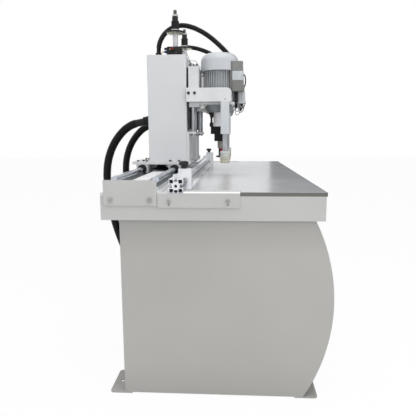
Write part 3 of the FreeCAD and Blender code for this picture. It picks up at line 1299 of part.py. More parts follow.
def hose_fittings(head):
    """Hose collar on the column, conduit gland on its top, and air fittings on the guide housing."""
    lean = tilted(-number("collar_tilt"))
    reach = "2 * collar_radius"
    start = ("0", f"hose_y - {reach} * cos(collar_tilt)", f"hose_top + {reach} * sin(collar_tilt)")
    collar = cut(bar("Z", start, "collar_radius", reach, lean),
                 bar("Z", start, "hose_bore", f"{reach} + overrun", lean),
                 slab("-2 * collar_radius", "2 * collar_radius", "column_back - 4 * collar_radius",
                      "column_back", "hose_top - 3 * collar_radius", "hose_top + 3 * collar_radius"))
    gland = cut(fuse(post("gland_x", "gland_y", "lid_top", "gland_top", "gland_radius - overrun"),
                     post("gland_x", "gland_y", "lid_top", "lid_top + gland_nut", "gland_radius")),
                post("gland_x", "gland_y", "lid_top - overrun", "gland_top + overrun",
                     "conduit_bore"))
    pieces = [collar, gland]
    for sign in signs:
        x = f"{sign}(housing_half - fitting_spread)"
        for across in fitting_shares:
            y = f"housing_front + {across} * (guide_face - housing_front)"
            pieces.append(post(x, y, "housing_top", "housing_top + fitting_height", "fitting_radius"))
    keep(f"hose_fittings_{head}", group(*pieces), head_x(head))


def build():
    base_cabinet()
    base_rear_panel()
    table_frame()
    table_top()
    rail_bed()
    guide_rails()
    end_plates()
    fence_beam()
    for side in ("left", "right"):
        fence_stop(side)
        stop_knob(side)
    for head in heads:
        for make in (carriage_plate, bearing_blocks, carriage_brake, column_cover, slide_guides,
                     guide_housing, clamp_bracket, clamp_cylinders, motor_carrier, lift_cylinder,
                     motor, fan_cover, terminal_box, gearbox, spindle_centre, depth_stop,
                     depth_sleeve, hose_fittings, rear_hose, top_conduit):
            make(head)
        for side in ("left", "right"):
            clamp_plunger(head, side)
            spindle_side(head, side)


build()
doc.recompute()

faults = [item.Label for item in doc.Objects
          if "Invalid" in item.State or "Error" in item.State]
for label, piece in nodes.items():
    if piece.Shape.isNull() or not piece.Shape.isValid():
        faults.append(label)
if faults:
    raise RuntimeError("these pieces failed: " + ", ".join(faults))

os.makedirs("parts", exist_ok=True)
for label, piece in nodes.items():
    piece.Shape.exportStep(f"parts/{label}.step")
print(len(nodes), "nodes written")
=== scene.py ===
import math

import bmesh
import bpy
from mathutils import Matrix, Vector


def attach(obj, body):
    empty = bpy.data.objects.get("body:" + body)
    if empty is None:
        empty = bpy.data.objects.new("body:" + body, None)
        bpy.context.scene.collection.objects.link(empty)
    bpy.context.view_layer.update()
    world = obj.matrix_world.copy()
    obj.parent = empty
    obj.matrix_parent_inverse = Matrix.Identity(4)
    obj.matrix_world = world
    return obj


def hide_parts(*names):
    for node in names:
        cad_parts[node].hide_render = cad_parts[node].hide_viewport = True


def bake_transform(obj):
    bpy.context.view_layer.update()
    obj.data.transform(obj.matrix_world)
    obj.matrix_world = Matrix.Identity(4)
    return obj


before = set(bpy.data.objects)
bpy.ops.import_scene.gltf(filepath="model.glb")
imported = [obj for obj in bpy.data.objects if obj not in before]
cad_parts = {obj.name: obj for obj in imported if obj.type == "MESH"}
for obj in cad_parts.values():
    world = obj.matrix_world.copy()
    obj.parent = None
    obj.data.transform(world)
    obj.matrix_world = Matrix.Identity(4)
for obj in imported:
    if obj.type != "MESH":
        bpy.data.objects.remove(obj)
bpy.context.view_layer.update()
headMiddle = {"a": -0.384, "b": 0.039}   # where each boring head stands along the table
motorY = 0.0155                          # the motor and its spindles, across the machine
depthY = 0.239                           # the depth stop's stud, across the machine


# camera
camera = {
    "sensor": 36, "focal": 455 / 416,    # focal length over the picture's width
    "place": (-2.7795, -0.06985, 1.0666),
    "right": (0.06065, -0.99815, -0.00443), "up": (0.15812, 0.00523, 0.98741),
    "forward": (0.98556, 0.06059, -0.15815), "farthest": 60,
}


def makeCamera():
    right, up, forward = (Vector(camera[side]) for side in ("right", "up", "forward"))
    data = bpy.data.cameras.new("camera")
    data.sensor_width = camera["sensor"]
    data.lens = camera["sensor"] * camera["focal"]
    data.clip_end = camera["farthest"]
    seat = Matrix((right, up, -forward)).transposed().to_4x4()
    seat.translation = Vector(camera["place"])
    body = bpy.data.objects.new("camera", data)
    body.matrix_world = seat
    bpy.context.scene.collection.objects.link(body)
    bpy.context.scene.camera = body


makeCamera()
print("camera set")


# seats: where a shape stands, and which way its own height runs
def seatAt(x, y, z=0.0, towards=None):
    seat = Matrix.Translation((x, y, z))
    if towards is not None:
        seat = seat @ Vector(towards).to_track_quat("Z", "Y").to_matrix().to_4x4()
    return seat


def headSeat(head, x, y, z=0.0, towards=None):
    # x counts from the head's own middle
    return seatAt(headMiddle[head] + x, y, z, towards)


def around(seat, count):
    return [seat @ Matrix.Rotation(math.tau * step / count, 4, "Z") for step in range(count)]


# mesh makers that the pieces share
def freshDots(bm, old, finish):
    # gives the faces made since their finish, and finds their corners
    faces = [face for face in bm.faces if face not in old]
    for face in faces:
        face.material_index = finish
    return list({dot for face in faces for dot in face.verts})


def bevelFresh(bm, old, edge, segments):
    rims = {line for face in bm.faces if face not in old for line in face.edges}
    bmesh.ops.bevel(bm, geom=list(rims), offset=edge, segments=segments, affect="EDGES",
                    profile=0.5, material=-1)


def solid(*profile):
    # a profile of (radius, height) pairs, closed on the axis at both ends
    return [(0, profile[0][1]), *profile, (0, profile[-1][1])]


def turned(bm, profile, seat, steps=40, finish=0):
    # a profile spun about its own height
    old = set(bm.faces)
    dots = [bm.verts.new((radius, 0, height)) for radius, height in profile]
    line = [bm.edges.new(pair) for pair in zip(dots, dots[1:])]
    bmesh.ops.spin(bm, geom=dots + line, cent=(0, 0, 0), axis=(0, 0, 1), angle=math.tau,
                   steps=steps, use_merge=True)
    bmesh.ops.remove_doubles(bm, verts=freshDots(bm, old, finish), dist=1e-6)
    dots = freshDots(bm, old, finish)
    bmesh.ops.transform(bm, matrix=seat, verts=dots)
    return dots


def prism(bm, flats, radius, low, high, seat, finish=0, edge=0.0004):
    # a nut or bolt head
    old = set(bm.faces)
    bmesh.ops.create_circle(bm, cap_ends=True, segments=flats, radius=radius,
                            matrix=Matrix.Translation((0, 0, low)))
    cap = [face for face in bm.faces if face not in old]
    grown = bmesh.ops.extrude_face_region(bm, geom=cap, use_keep_orig=True)
    dots = [item for item in grown["geom"] if isinstance(item, bmesh.types.BMVert)]
    bmesh.ops.translate(bm, verts=dots, vec=(0, 0, high - low))
    bevelFresh(bm, old, edge, 1)
    bmesh.ops.transform(bm, matrix=seat, verts=freshDots(bm, old, finish))


def brick(bm, low, high, edge, finish=0, seat=None, segments=2):
    # a rounded block between two corners
    old = set(bm.faces)
    low, high = Vector(low), Vector(high)
    bmesh.ops.create_cube(bm, size=1, matrix=Matrix.Translation((low + high) / 2)
                          @ Matrix.Diagonal((*(high - low), 1)))
    bevelFresh(bm, old, edge, segments)
    dots = freshDots(bm, old, finish)
    if seat:
        bmesh.ops.transform(bm, matrix=seat, verts=dots)
    return dots


def stack(bm, parts, seat):
    # a fitting from its parts: those with flats are nuts, and the others are turned
    for part in parts:
        finish = part.get("finish", 0)
        if "flats" in part:
            prism(bm, part["flats"], part["radius"], *part["reach"], seat, finish,
                  part.get("edge", 0.0004))
        else:
            turned(bm, part["profile"], seat, part["steps"], finish)


def capScrew(bm, seat, radius, height, finish=0):
    # a socket cap screw standing on its seat
    turned(bm, solid((radius, 0), (radius, height * 0.85), (radius * 0.88, height),
                     (radius * 0.56, height), (radius * 0.5, height * 0.92),
                     (radius * 0.5, height * 0.35)), seat, 20, finish)


def panScrew(bm, seat, radius, finish=0):
    turned(bm, solid((radius, 0), (radius, radius * 0.25), (radius * 0.8, radius * 0.55),
                     (radius * 0.42, radius * 0.7), (radius * 0.34, radius * 0.3)),
           seat, 18, finish)


def finishPiece(bm, name, body, names, crease=32):
    # names are its finishes, in the order that the faces count them
    bmesh.ops.recalc_face_normals(bm, faces=bm.faces[:])
    for face in bm.faces:
        face.smooth = True
    for line in bm.edges:
        if len(line.link_faces) == 2 and line.calc_face_angle(0) > math.radians(crease):
            line.smooth = False
    mesh = bpy.data.meshes.new(name)
    bm.to_mesh(mesh)
    bm.free()
    for finish in names:
        mesh.materials.append(finishes[finish])
    piece = bpy.data.objects.new(name, mesh)
    bpy.context.scene.collection.objects.link(piece)
    if body:
        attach(piece, body)
    return piece


# finishes
def linear(tone):
    return tuple(((value / 255 + 0.055) / 1.055) ** 2.4 for value in tone)


def addNode(tree, kind, inputs=None, **settings):
    # each input takes a link from another socket or a plain value
    node = tree.nodes.new("ShaderNode" + kind)
    for key, value in settings.items():
        setattr(node, key, value)
    for key, source in (inputs or {}).items():
        feed(tree, node.inputs[key], source)
    return node


def feed(tree, socket, source):
    if isinstance(source, bpy.types.NodeSocket):
        tree.links.new(source, socket)
    else:
        socket.default_value = source


# how every finish is drawn: noise details, the part of each noise that shows, and the edges' wear
# and painted highlight
drawing = {
    "patchDetail": 3, "grainDetail": 2, "grainStep": 0.0004, "edgeSamples": 4,
    "toneReach": (0.35, 0.65), "glossReach": (0.3, 0.7), "lineReach": (0.45, 0.75),
    "wearAndHighlightReach": (0.75, 0.98), "wearAndHighlightMost": 0.7, "wearAndHighlightScale": 90, "wearAndHighlightBreaks": (0.2, 1),
}


class Wiring:
    # a short hand for wiring one finish
    def __init__(self, name):
        self.finish = bpy.data.materials.new(name)
        self.finish.use_nodes = True
        self.tree = self.finish.node_tree
        self.shader = self.tree.nodes["Principled BSDF"]
        self.place = self.add("TexCoord").outputs["Object"]

    def add(self, kind, inputs=None, **settings):
        return addNode(self.tree, kind, inputs, **settings)

    def noise(self, scale, detail, stretch=None):
        place = self.place
        if stretch:
            place = self.add("Mapping", {"Vector": place, "Scale": stretch}).outputs["Vector"]
        return self.add("TexNoise", {"Vector": place, "Scale": scale,
                                     "Detail": detail}).outputs["Fac"]

    def span(self, source, low, high, reach=drawing["glossReach"]):
        return self.add("MapRange", {"Value": source, "From Min": reach[0], "From Max": reach[1],
                                     "To Min": low, "To Max": high}).outputs[0]

    def ramp(self, source, stops):
        ramp = self.add("ValToRGB", {"Fac": source})
        marks = ramp.color_ramp.elements
        while len(marks) < len(stops):
            marks.new(0.5)
        for mark, (position, colour) in zip(marks, stops):
            mark.position, mark.color = position, (*colour, 1)
        return ramp.outputs["Color"]

    def tones(self, source, shade, colour):
        start, end = drawing["toneReach"]
        return self.ramp(source, [(start, linear(shade)), (end, linear(colour))])

    def times(self, one, other):
        return self.add("Math", {0: one, 1: other}, operation="MULTIPLY").outputs[0]

    def blendTone(self, mask, under, over, way="MIX"):
        return self.add("Mix", {0: mask, 6: under, 7: over}, data_type="RGBA",
                        blend_type=way).outputs[2]

    def blendValue(self, mask, under, over):
        return self.add("Mix", {0: mask, 2: under, 3: over}, data_type="FLOAT").outputs[0]

    def within(self, axis, low, high):
        # 1 between two places along X, Y or Z
        parts = self.add("SeparateXYZ", {"Vector": self.place})
        return self.add("Math", {0: parts.outputs[axis], 1: (low + high) / 2,
                                 2: (high - low) / 2}, operation="COMPARE").outputs[0]


# a look's settings where it doesn't give its own: the noise scales of its patches, grain and
# smears, how deep the grain is and how wide an edge is rounded
plainLook = {"patch": 60, "grain": 900, "smears": 14, "depth": 0.12, "edge": 0.0008,
             "stretch": None, "metal": 0, "zones": (), "shader": {}}


def paintShadeByHeight(wires, colour, paintedShadeLevels):
    # painted shade: darker just under the table, where its shadow falls on the base, and a little
    # near the floor
    height = wires.add("SeparateXYZ", {"Vector": wires.place}).outputs[2]
    levels = wires.ramp(height, [(place, (level,) * 3) for place, level in paintedShadeLevels])
    return wires.blendTone(1.0, colour, levels, "MULTIPLY")


def layZones(wires, patch, colour, gloss, look):
    # bands of another finish, each between two places along one axis or two
    metal = look["metal"]
    mixesMetal = any(zone.get("metal", 0) != metal for zone in look["zones"])
    for zone in look["zones"]:
        mask = wires.within(*zone["reach"])
        if "also" in zone:
            mask = wires.times(mask, wires.within(*zone["also"]))
        colour = wires.blendTone(mask, colour, wires.tones(patch, zone["shade"], zone["colour"]))
        gloss = wires.blendValue(mask, gloss, wires.span(patch, *zone["gloss"]))
        if mixesMetal:
            metal = wires.blendValue(mask, metal, zone.get("metal", 0))
    return colour, gloss, metal


def drawLines(wires, colour, look):
    # long faint draw lines or grinding lines in the tone
    lines = wires.noise(look["grain"], drawing["patchDetail"], look["stretch"])
    mask = wires.span(lines, 0, look["streaks"], drawing["lineReach"])
    return wires.blendTone(mask, colour, (*linear(look["shade"]), 1))


def edgeWearAndHighlight(wires, colour, rounded, wearAndHighlight):
    # edges a little brighter or darker than the faces: partly wear, and partly a painted highlight
    # where the edge tone is brighter
    flat = wires.add("NewGeometry").outputs["Normal"]
    turn = wires.add("VectorMath", {0: rounded, 1: flat}, operation="DOT_PRODUCT")
    edgeMask = wires.span(turn.outputs["Value"], drawing["wearAndHighlightMost"], 0, drawing["wearAndHighlightReach"])
    breaks = wires.noise(drawing["wearAndHighlightScale"], drawing["patchDetail"])
    broken = wires.times(edgeMask, wires.span(breaks, *drawing["wearAndHighlightBreaks"]))
    return wires.blendTone(broken, colour, (*linear(wearAndHighlight), 1))


def makeFinish(name, given):
    look = {**plainLook, **given}
    wires = Wiring(name)
    patch = wires.noise(look["patch"], drawing["patchDetail"])
    fine = wires.noise(look["grain"], drawing["grainDetail"], look["stretch"])
    smears = wires.noise(look["smears"], drawing["patchDetail"], look["stretch"])
    colour = wires.tones(patch, look["shade"], look["colour"])
    gloss = wires.span(smears, *look["gloss"])
    # painted shade by height, where a look gives its levels
    if "paintedShadeLevels" in look:
        colour = paintShadeByHeight(wires, colour, look["paintedShadeLevels"])
    colour, gloss, metal = layZones(wires, patch, colour, gloss, look)
    if "streaks" in look:
        colour = drawLines(wires, colour, look)
    rounded = wires.add("Bevel", {"Radius": look["edge"]},
                        samples=drawing["edgeSamples"]).outputs[0]
    # edge tone: partly wear, partly a painted highlight along the edges
    if "wearAndHighlight" in look:
        colour = edgeWearAndHighlight(wires, colour, rounded, look["wearAndHighlight"])
    bump = wires.add("Bump", {"Height": fine, "Normal": rounded, "Strength": look["depth"],
                              "Distance": drawing["grainStep"]}).outputs[0]
    sockets = {"Base Color": colour, "Roughness": gloss, "Normal": bump, "Metallic": metal}
    for socket, source in {**sockets, **look["shader"]}.items():
        feed(wires.tree, wires.shader.inputs[socket], source)
    return wires.finish


# stretches of the grain, and parts of looks that several share
alongX, acrossX, alongZ = (0.02, 1, 1), (1, 0.02, 0.02), (1, 1, 0.02)
dull = {"Specular IOR Level": 0.3}
bareEnd = {"colour": (176, 180, 176), "shade": (158, 163, 160), "gloss": (0.3, 0.42), "metal": 0.7}
# painted shadow: a dark band on the rail bed under each rail, where the rails shade it
railShadowBand = {"reach": (2, 0.8688, 0.8888), "colour": (120, 122, 126), "shade": (104, 106, 110),
             "gloss": (0.36, 0.46)}
steel = {"colour": (184, 187, 191), "shade": (160, 163, 167), "patch": 24, "grain": 1600,
         "stretch": alongZ, "streaks": 0.4, "depth": 0.1, "gloss": (0.18, 0.3), "edge": 0.0005,
         "metal": 0.95}
tinyPlastic = {"grain": 1400, "depth": 0.15, "edge": 0.0003}
looks = {
    # the base's levels by height are painted shade: darker under the table and near the floor
    "basePaint": {"colour": (183, 182, 179), "shade": (178, 177, 174), "patch": 1.6,
                  "paintedShadeLevels": ((0.0, 0.86), (0.14, 0.96), (0.30, 1.0), (0.60, 0.98), (0.69, 0.87),
                           (0.735, 0.78)),
                  "gloss": (0.4, 0.5), "edge": 0.0015, "wearAndHighlight": (194, 193, 190)},
    "whitePaint": {"colour": (213, 215, 217), "shade": (208, 210, 212), "patch": 3,
                   "gloss": (0.34, 0.44), "edge": 0.001, "wearAndHighlight": (226, 227, 227)},
    "framePaint": {"colour": (197, 197, 196), "shade": (192, 192, 191), "patch": 2.2,
                   "gloss": (0.34, 0.44), "edge": 0.0012, "wearAndHighlight": (212, 212, 211)},
    "castWhite": {"colour": (214, 215, 216), "shade": (204, 206, 208), "patch": 26, "grain": 420,
                  "depth": 0.3, "gloss": (0.38, 0.5), "edge": 0.0014, "wearAndHighlight": (228, 229, 230)},
    # the end plates' bright edge tone is a painted highlight along their edges
    "endPlatePaint": {"colour": (197, 197, 196), "shade": (191, 191, 190), "patch": 4,
                      "gloss": (0.36, 0.46), "edge": 0.0012, "wearAndHighlight": (228, 228, 228),
                      # the first band is a painted highlight: a white line along the angle's top
                      # edge
                      "zones": [{"reach": (2, 0.8455, 0.8510), "also": (1, -0.10, 0.235),
                                 "colour": (248, 248, 248), "shade": (242, 242, 242),
                                 "gloss": (0.3, 0.4)},
                                {"reach": (0, -1.06, -1.0502), **bareEnd},
                                {"reach": (0, 1.0502, 1.06), **bareEnd}]},
    "tableLaminate": {"colour": (177, 179, 182), "shade": (171, 173, 176), "patch": 2.4,
                      "grain": 1500, "depth": 0.03, "smears": 5, "gloss": (0.21, 0.27),
                      "edge": 0.0006, "shader": {"IOR": 1.5},
                      "zones": [{"reach": (2, 0.80, 0.8492), "colour": (112, 113, 106),
                                 "shade": (102, 103, 97), "gloss": (0.4, 0.5)}]},
    "bedPaint": {"colour": (228, 229, 229), "shade": (220, 221, 221), "patch": 5,
                 "gloss": (0.4, 0.52), "edge": 0.001, "wearAndHighlight": (206, 207, 207),
                 # the two bands under the rails are painted shadow
                 "zones": [{"also": (1, 0.2205, 0.2555), **railShadowBand},
                           {"also": (1, 0.3845, 0.4195), **railShadowBand}]},
    "chromeBar": {"colour": (206, 212, 220), "shade": (186, 193, 203), "patch": 12,
                  "grain": 1400, "stretch": acrossX, "streaks": 0.35, "depth": 0.05,
                  "gloss": (0.1, 0.2), "edge": 0.0006, "metal": 1},
    "beamAluminium": {"colour": (242, 244, 247), "shade": (230, 233, 237), "patch": 5,
                      "stretch": alongX, "streaks": 0.4, "depth": 0.16, "gloss": (0.26, 0.38),
                      "edge": 0.0007, "metal": 0.5, "wearAndHighlight": (232, 234, 237)},
    "stopAluminium": {"colour": (236, 238, 241), "shade": (224, 227, 231), "patch": 30,
                      "stretch": alongZ, "streaks": 0.3, "depth": 0.16, "gloss": (0.3, 0.42),
                      "metal": 0.5, "wearAndHighlight": (232, 234, 237)},
    "clampAluminium": {"colour": (209, 213, 216), "shade": (200, 204, 208), "patch": 20,
                       "grain": 1100, "stretch": alongZ, "streaks": 0.3, "gloss": (0.36, 0.46),
                       "edge": 0.001, "metal": 0.35, "wearAndHighlight": (222, 225, 227)},
    "motorPaint": {"colour": (190, 194, 197), "shade": (177, 181, 185), "patch": 32,
                   "grain": 520, "depth": 0.35, "gloss": (0.34, 0.5), "edge": 0.0006,
                   "metal": 0.1, "wearAndHighlight": (188, 191, 194)},
    "coverPaint": {"colour": (196, 199, 204), "shade": (190, 194, 199), "patch": 9,
                   "grain": 1100, "depth": 0.05, "gloss": (0.3, 0.36), "metal": 0.2},
    "groundSteel": steel,
    "guideSteel": {**steel, "zones": [{"reach": (1, 0.1648, 0.19), "colour": (28, 28, 30),
                                       "shade": (20, 20, 22), "gloss": (0.4, 0.5)}]},
    "toolSteel": {"colour": (160, 157, 150), "shade": (128, 126, 121), "grain": 1200,
                  "depth": 0.2, "gloss": (0.28, 0.42), "edge": 0.0005, "metal": 0.9},
    "blackIron": {"colour": (32, 32, 34), "shade": (22, 22, 24), "patch": 40, "depth": 0.25,
                  "gloss": (0.38, 0.55), "edge": 0.0007, "wearAndHighlight": (70, 70, 72), "shader": dull},
    "blackPlastic": {"colour": (26, 26, 28), "shade": (19, 19, 21), "patch": 40, "grain": 1300,
                     "depth": 0.3, "gloss": (0.4, 0.54), "edge": 0.0006, "shader": dull},
    "fittingGrey": {"colour": (122, 124, 126), "shade": (98, 100, 103), "grain": 1300,
                    "gloss": (0.28, 0.4), "edge": 0.0004, "metal": 0.6},
    "knobPlastic": {"colour": (38, 38, 42), "shade": (28, 28, 31), "grain": 1300, "depth": 0.35,
                    "gloss": (0.34, 0.48), "shader": {"Specular IOR Level": 0.35}},
    "hoseRubber": {"colour": (21, 21, 23), "shade": (15, 15, 17), "patch": 18, "grain": 1100,
                   "depth": 0.2, "gloss": (0.32, 0.44), "edge": 0.0003, "shader": dull},
    "leadRubber": {"colour": (24, 24, 26), "shade": (18, 18, 20), "patch": 50, "grain": 1600,
                   "gloss": (0.36, 0.46), "edge": 0.0002, "shader": dull},
    "boxPaint": {"colour": (132, 133, 131), "shade": (122, 123, 121), "patch": 18, "grain": 620,
                 "depth": 0.3, "gloss": (0.42, 0.54), "edge": 0.0009, "metal": 0.15,
                 "wearAndHighlight": (168, 168, 165)},
    "barePlate": {"colour": (200, 206, 207), "shade": (184, 191, 193), "patch": 40,
                  "grain": 1300, "stretch": (1, 0.02, 1), "streaks": 0.35, "depth": 0.08,
                  "gloss": (0.3, 0.4), "edge": 0.0003, "metal": 0.35},
    "lowerBoxPaint": {"colour": (210, 214, 216), "shade": (197, 201, 204), "patch": 24,
                      "grain": 700, "depth": 0.2, "gloss": (0.36, 0.48),
                      "wearAndHighlight": (212, 215, 216)},
    "sealRubber": {"colour": (22, 22, 23), "shade": (16, 16, 17), "grain": 1200, "depth": 0.2,
                   "gloss": (0.5, 0.62), "edge": 0.0004},
    "nickel": {"colour": (206, 208, 206), "shade": (184, 187, 186), "grain": 1300,
               "depth": 0.08, "gloss": (0.16, 0.26), "edge": 0.0003, "metal": 0.95},
    "zincYellow": {"colour": (190, 187, 156), "shade": (122, 124, 112), "patch": 46,
                   "stretch": (1, 1, 0.1), "streaks": 0.4, "gloss": (0.2, 0.32), "metal": 0.85,
                   "wearAndHighlight": (206, 204, 186)},
    "whiteSteel": {"colour": (214, 214, 218), "shade": (196, 197, 202), "patch": 30,
                   "grain": 1200, "depth": 0.1, "gloss": (0.22, 0.34), "edge": 0.0006,
                   "metal": 0.5},
    "blueRelease": {"colour": (34, 74, 150), "shade": (26, 58, 124), "gloss": (0.3, 0.4),
                    **tinyPlastic},
    "redRelease": {"colour": (176, 30, 34), "shade": (142, 22, 26), "gloss": (0.3, 0.4),
                   **tinyPlastic},
    "creamPlastic": {"colour": (226, 214, 178), "shade": (208, 194, 156), "gloss": (0.36, 0.46),
                     **tinyPlastic},
    "creamWhite": {"colour": (224, 224, 220), "shade": (208, 208, 203), "grain": 1200,
                   "depth": 0.15, "gloss": (0.36, 0.46), "edge": 0.0005},
    "clearFoot": {"colour": (234, 234, 230), "shade": (224, 224, 218), "patch": 24,
                  "grain": 700, "gloss": (0.3, 0.42),
                  "zones": [{"reach": (2, 0.90, 0.957), "colour": (230, 227, 211),
                             "shade": (219, 215, 196), "gloss": (0.3, 0.42)}],
                  "shader": {"Transmission Weight": 0.35, "IOR": 1.49,
                             "Subsurface Weight": 0.2, "Subsurface Scale": 0.01}},
    "clearTube": {"colour": (228, 230, 228), "shade": (214, 217, 216), "patch": 50,
                  "grain": 1500, "depth": 0.08, "gloss": (0.2, 0.3), "edge": 0.0002,
                  "shader": {"Transmission Weight": 0.45, "IOR": 1.45}},
}
finishes = {name: makeFinish(name, look) for name, look in looks.items()}


# finishes whose bands stand at places of each head's own, past its two outer faces or by height
blackBand = {"colour": (19, 19, 21), "shade": (13, 13, 15), "gloss": (0.5, 0.62)}
chuckSteel = {"grain": 1200, "depth": 0.2, "gloss": (0.28, 0.4), "edge": 0.0005, "metal": 0.85}
headLooks = {
    "bearing": {"colour": (206, 208, 209), "shade": (186, 189, 191), "patch": 30, "grain": 620,
                "depth": 0.25, "gloss": (0.36, 0.5), "edge": 0.001, "metal": 0.3,
                "wearAndHighlight": (226, 227, 228), "faces": 0.11501},
    "bracket": {"colour": (220, 221, 222), "shade": (214, 215, 217), "patch": 6,
                "gloss": (0.34, 0.44), "edge": 0.001, "wearAndHighlight": (228, 229, 229),
                "faces": 0.11505},
    "carriage": {"colour": (212, 213, 213), "shade": (202, 203, 204), "patch": 14, "grain": 700,
                 "depth": 0.2, "gloss": (0.36, 0.48), "edge": 0.001, "wearAndHighlight": (228, 228, 228),
                 "zones": [{"reach": (2, 0.9361, 0.95), **blackBand}]},
    "bellAndCase": {"colour": (150, 154, 157), "shade": (134, 138, 142), "patch": 30,
                    "grain": 560, "depth": 0.3, "gloss": (0.34, 0.48), "wearAndHighlight": (166, 168, 170),
                    "shader": {"Specular IOR Level": 0.22},
                    "zones": [{"reach": (2, 1.1101, 1.1809), "colour": (252, 252, 253),
                               "shade": (248, 248, 250), "gloss": (0.34, 0.44)},
                              {"reach": (2, 0.9, 1.1101), **blackBand}]},
    "centreSpindle": {"colour": (160, 157, 150), "shade": (134, 132, 127), **chuckSteel,
                      "zones": [{"reach": (2, 0.9601, 1.0), "colour": (34, 34, 36),
                                 "shade": (26, 26, 28), "gloss": (0.36, 0.5), "metal": 0.2},
                                {"reach": (2, 0.94, 0.9601), "colour": (52, 52, 54),
                                 "shade": (36, 36, 38), "gloss": (0.28, 0.4), "metal": 0.7}]},
    "sideSpindle": {"colour": (156, 153, 147), "shade": (130, 128, 124), **chuckSteel,
                    "zones": [{"reach": (2, 0.962, 1.0), "colour": (178, 28, 32),
                               "shade": (150, 20, 24), "gloss": (0.3, 0.42)}]},
}
pastFaces = 0.2   # how far a band reaches beyond a head's outer faces


def headFinish(name, head):
    look = headLooks[name]
    if "faces" in look:
        low, high = headMiddle[head] - look["faces"], headMiddle[head] + look["faces"]
        look = {**look, "zones": [{"reach": (0, low - pastFaces, low), **blackBand},
                                  {"reach": (0, high, high + pastFaces), **blackBand}]}
    return makeFinish(f"{name}_{head}", look)


headFinishes = {head: {name: headFinish(name, head) for name in headLooks}
                for head in headMiddle}
print("finishes mixed:", len(bpy.data.materials))


# rear hoses and top conduits: ribbed tubes along a smooth line
hose = {
    "diameter": 0.042, "valley": 0.0188, "ribs": 190, "sides": 26, "detail": 40,
    "a": {"length": 0.907, "route": [
        (-0.3840, 0.4110, 1.1370), (-0.3840, 0.4564, 1.1298), (-0.3840, 0.4996, 1.1087),
        (-0.3840, 0.5354, 1.0767), (-0.3840, 0.5695, 1.0323), (-0.3840, 0.5961, 0.9786),
        (-0.3840, 0.6138, 0.9150), (-0.3840, 0.6190, 0.8390), (-0.3871, 0.6130, 0.7571),
        (-0.3970, 0.5951, 0.6721), (-0.4095, 0.5720, 0.5920), (-0.4214, 0.5489, 0.5302),
        (-0.4313, 0.5229, 0.4700), (-0.4360, 0.4840, 0.4220), (-0.4360, 0.4320, 0.3920)]},
    "b": {"length": 0.921, "route": [
        (0.0390, 0.4110, 1.1370), (0.0390, 0.4564, 1.1298), (0.0390, 0.4996, 1.1087),
        (0.0390, 0.5354, 1.0767), (0.0390, 0.5695, 1.0323), (0.0390, 0.5961, 0.9786),
        (0.0390, 0.6138, 0.9150), (0.0390, 0.6190, 0.8390), (0.0462, 0.6130, 0.7571),
        (0.0690, 0.5951, 0.6721), (0.0978, 0.5720, 0.5920), (0.1254, 0.5489, 0.5302),
        (0.1482, 0.5229, 0.4700), (0.1590, 0.4840, 0.4220), (0.1590, 0.4320, 0.3920)]},
}
conduit = {
    "diameter": 0.026, "valley": 0.0114, "ribs": 120, "sides": 20, "detail": 40,
    "a": {"length": 0.617, "route": [
        (-0.3390, 0.3330, 1.4880), (-0.3390, 0.3330, 1.5220), (-0.3370, 0.3199, 1.5581),
        (-0.3340, 0.2970, 1.5900), (-0.3300, 0.2641, 1.6139), (-0.3260, 0.2241, 1.6270),
        (-0.3220, 0.1782, 1.6239), (-0.3170, 0.1239, 1.6041), (-0.3120, 0.0701, 1.5720),
        (-0.3070, 0.0221, 1.5321), (-0.3010, -0.0218, 1.4899), (-0.2960, -0.0491, 1.4470),
        (-0.2930, -0.0630, 1.4000), (-0.2930, -0.0630, 1.3660)]},
    "b": {"length": 0.579, "route": [
        (0.0840, 0.3330, 1.4880), (0.0840, 0.3330, 1.5180), (0.0850, 0.3239, 1.5450),
        (0.0870, 0.3069, 1.5680), (0.0900, 0.2839, 1.5850), (0.0930, 0.2570, 1.5940),
        (0.0970, 0.2241, 1.5950), (0.1010, 0.1782, 1.5900), (0.1060, 0.1239, 1.5740),
        (0.1110, 0.0701, 1.5490), (0.1170, 0.0221, 1.5170), (0.1230, -0.0218, 1.4800),
        (0.1270, -0.0491, 1.4400), (0.1300, -0.0630, 1.3960), (0.1300, -0.0630, 1.3660)]},
}
ribShape = ((0.08, False), (0.3, True), (0.7, True), (0.92, False))   # share of a rib, on its crest


def routeCurve(name, route, detail):
    curve = bpy.data.curves.new(name, "CURVE")
    curve.dimensions = "3D"
    curve.resolution_u = detail
    spline = curve.splines.new("NURBS")
    spline.points.add(len(route) - 1)
    for dot, place in zip(spline.points, route):
        dot.co = (*place, 1)
    spline.order_u = 3
    spline.use_endpoint_u = True
    return curve


def lineOf(curve):
    holder = bpy.data.objects.new(curve.name, curve)
    bpy.context.scene.collection.objects.link(holder)
    mesh = bpy.data.meshes.new_from_object(holder)
    line = [dot.co.copy() for dot in mesh.vertices]
    bpy.data.objects.remove(holder)
    bpy.data.meshes.remove(mesh)
    return line


def lengthOf(line):
    return sum((after - before).length for before, after in zip(line, line[1:]))


def walk(line, distances):
    # seats square to the line at rising distances along it
    seats, passed, index = [], 0.0, 0
    for distance in distances:
        step = (line[index + 1] - line[index]).length
        while passed + step < distance and index < len(line) - 2:
            passed += step
            index += 1
            step = (line[index + 1] - line[index]).length
        share = (distance - passed) / step
        here = (line[index + 1] - line[index]).normalized()
        before = (line[index] - line[index - 1]).normalized() if index else here
        away = before.lerp(here, 0.5 + share / 2).normalized()
        side = away.cross(Vector((1, 0, 0))).normalized()
        seat = Matrix((side.cross(away), side, away)).transposed().to_4x4()
        seat.translation = line[index].lerp(line[index + 1], share)
        seats.append(seat)
    return seats


